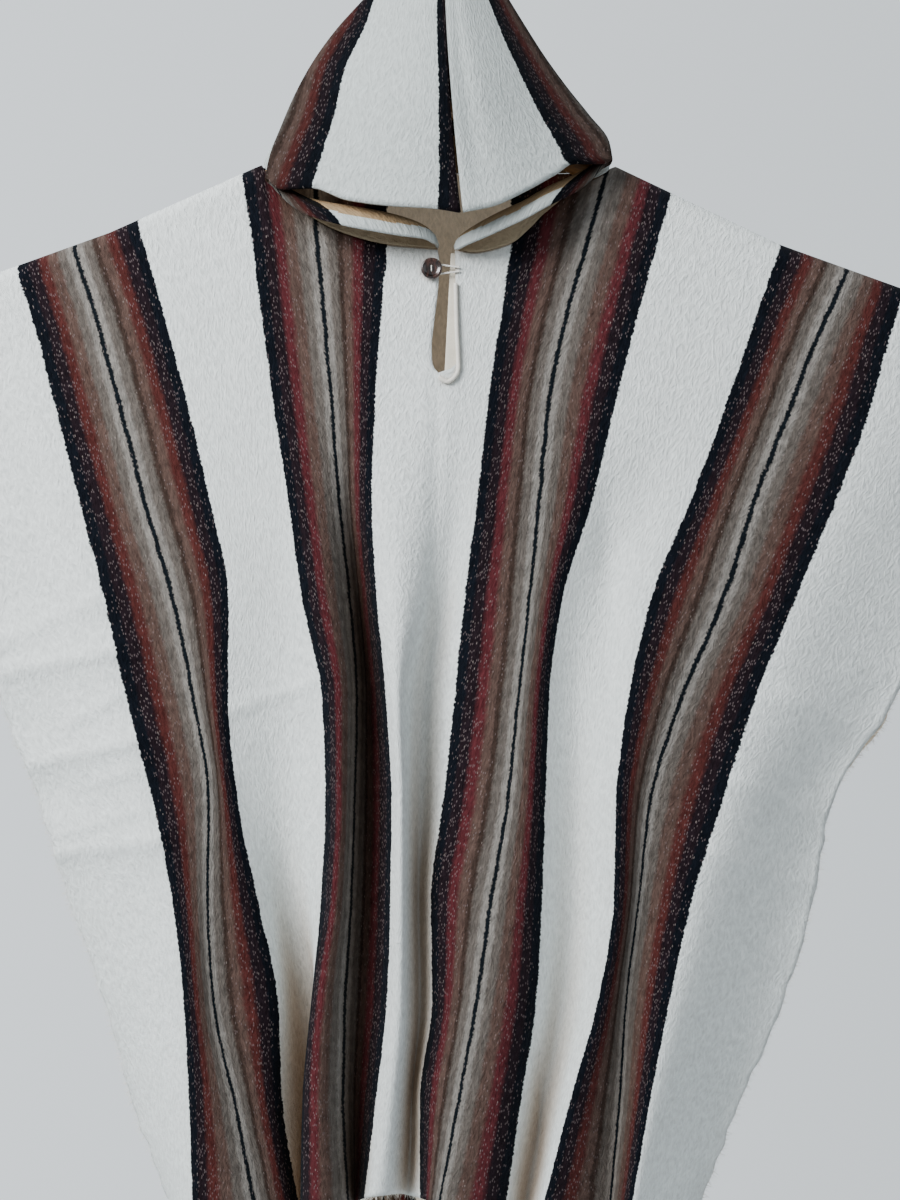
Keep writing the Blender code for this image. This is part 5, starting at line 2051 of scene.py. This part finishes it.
@dataclass
class Studio:
    """Camera, soft lights, pale surroundings and floor."""

    centre_x: float = 4.5
    distance: float = 1330.0
    eye_z: float = -693.0
    lens: float = 43.33
    floor_z: float = -1750.0
    floor_radius: float = 1200.0
    air: str = "CED5DA"
    air_front: float = 0.68
    air_back: float = 1.75
    air_left: float = 1.06
    air_right: float = 0.86
    air_below: float = 0.2
    lamps: tuple[Lamp, ...] = (
        Lamp("Key", (-1.9, -1.9, 0.8), (-0.2, 0.0, -0.8), 1.4, 165.0, "FFFFFF"),
        Lamp("Fill", (1.7, -1.6, 0.2), (0.0, 0.0, -0.8), 1.8, 8.0, "F3F6FA"),
        Lamp("Rear", (0.6, 2.2, 0.6), (0.0, 0.0, -0.6), 1.8, 16.0, "F6F8FA"),
    )

    def build(self) -> None:
        """Make the studio."""
        self.place_camera()
        for lamp in self.lamps:
            lamp.hang()
        self.fill_air()
        self.lay_floor()

    def place_camera(self) -> None:
        """Stand the camera in front of the garment, level."""
        camera = bpy.data.cameras.new("Camera")
        camera.lens = self.lens
        camera.sensor_width = 36.0
        camera.clip_start = 0.01
        holder = bpy.data.objects.new("Camera", camera)
        holder.location = (self.centre_x * MM, -self.distance * MM, self.eye_z * MM)
        holder.rotation_euler = (math.radians(90), 0.0, 0.0)
        bpy.context.scene.collection.objects.link(holder)
        bpy.context.scene.camera = holder

    def fill_air(self) -> None:
        """Pale air all round: brighter behind than in front, and darker below."""
        world = bpy.data.worlds.new("PaleRoom")
        world.use_nodes = True
        graph = Graph(world.node_tree)
        way = graph.add("ShaderNodeTexCoord").outputs["Generated"]
        ways = graph.add("ShaderNodeSeparateXYZ", {0: way}).outputs
        depth = graph.add(
            MAP_RANGE,
            {
                "Value": ways[1],
                "From Min": -0.3,
                "From Max": 0.8,
                "To Min": self.air_front,
                "To Max": self.air_back,
            },
        ).outputs[0]
        across = graph.add(
            MAP_RANGE,
            {
                "Value": ways[0],
                "From Min": -0.3,
                "From Max": 0.3,
                "To Min": self.air_left,
                "To Max": self.air_right,
            },
        ).outputs[0]
        below = graph.add(
            MAP_RANGE,
            {"Value": ways[2], "From Min": -0.85, "From Max": -0.4, "To Min": self.air_below, "To Max": 1.0},
        ).outputs[0]
        level = graph.add(MATH, {0: depth, 1: across}, operation="MULTIPLY").outputs[0]
        level = graph.add(MATH, {0: level, 1: below}, operation="MULTIPLY").outputs[0]
        back = world.node_tree.nodes["Background"]
        back.inputs[0].default_value = rgb(self.air)
        world.node_tree.links.new(level, back.inputs[1])
        bpy.context.scene.world = world

    def lay_floor(self) -> None:
        """Round pale floor below the garment."""
        bpy.ops.mesh.primitive_circle_add(
            vertices=96,
            radius=self.floor_radius * MM,
            fill_type="NGON",
            location=(0.0, 0.0, self.floor_z * MM),
        )
        floor = bpy.context.object
        floor.name = "Floor"
        floor.data.materials.append(PlainWool("pale_floor", "D9DCDD", 200.0).build())
        floor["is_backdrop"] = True


def dress(made: bpy.types.Object, slot: str, *nodes: str) -> bpy.types.Object:
    """Make a piece ride on the garment and stand for its nodes.

    Args:
        made: Finished piece.
        slot: Material slot of the record; not used.
        nodes: Frame nodes that it replaces.

    Returns:
        The piece.
    """
    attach(made, BODY)
    if nodes:
        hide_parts(*nodes)
    return made


def finish_node(node: str, look: bpy.types.Material) -> None:
    """Give a node of the frame its finish."""
    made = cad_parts[node]
    for holder in made.material_slots:
        holder.material = look


def build_cloth(drape: Drape) -> None:
    """Build the body pieces, the hood halves, their raw edges and stitches."""
    outside = StripedWool().build()
    # Inner faces of the body: painted warm shade and painted glow.
    inside = StripedWool(
        name="striped_wool_inside_painted_shade_and_glow", tint="EAD4BC", painted_glow=0.20, painted_hollow_tint="D8C4AC"
    ).build()
    # The hood's faces: painted shade tones, darker than the body, and a little painted glow inside.
    hood_outside_painted_shade = StripedWool(name="striped_wool_hood", tint="D9DCDC").build()
    hood_inside_painted_shade = StripedWool(
        name="striped_wool_hood_inside", tint="BC9E7C", painted_glow=0.02, painted_hollow_tint="B59878"
    ).build()
    # Lip's outer face below the hem band: painted shade.
    lip_shade = StripedWool(name="striped_wool_lip_painted_shade", tint="C2AD92").build()
    fibres = PlainWool("edge_fibre", "E4E1D6").build()
    thread = PlainWool("white_thread", "EFEDE6").build()
    front = FrontPiece(drape, outside, inside)
    front_piece = dress(front.build(), "wool_cloth", "body_front")
    front_fuzz = dress(RawEdge(seed=5).build("edge_fibres_front", front.edge_lines, fibres), "wool_cloth")
    back = BackPiece(drape, outside, inside)
    back_piece = dress(back.build(), "wool_cloth", "body_back")
    back_fuzz = dress(RawEdge(seed=6).build("edge_fibres_back", back.edge_lines, fibres), "wool_cloth")
    for side in Side:
        half = HoodHalf(drape, hood_outside_painted_shade, hood_inside_painted_shade, lip_shade, side=side)
        piece = dress(half.build(), "wool_cloth", "hood_" + side.word)
        stitches = dress(LipStitches().build(half, thread), "loop_cord")


def build_trim(drape: Drape) -> None:
    """Build the slit's trim and the button with its thread and loop."""
    cream = PlainWool("facing_wool", "DDD7C8").build()
    piping = PlainWool("binding_wool", "E6E2D8", 700.0).build()
    white = PlainWool("white_cord", "ECEAE3", 1500.0).build()
    trim = SlitTrim(drape)
    facing = dress(trim.build_facing(cream), "trim_cloth", "slit_facing")
    dress(trim.build_binding(piping), "trim_cloth", "slit_binding")
    buttons = ButtonSet(drape)
    dress(buttons.build_button(HornFinish().build()), "button_horn", "button")
    dress(buttons.build_thread(white), "loop_cord", "button_thread")
    dress(buttons.build_loop(white), "loop_cord", "button_loop")


def main() -> None:
    """Build the studio and every piece of the poncho."""
    logging.basicConfig(level=logging.INFO)
    Studio().build()
    drape = Drape()
    build_cloth(drape)
    build_trim(drape)
    wire = WireFinish().build()
    finish_node("hanger_arms", WoodFinish().build())
    finish_node("hanger_hook", wire)
    finish_node("peak_collar", wire)
    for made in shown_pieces():
        LOG.info("piece %s", made.name)


if __name__ == "__main__":
    main()
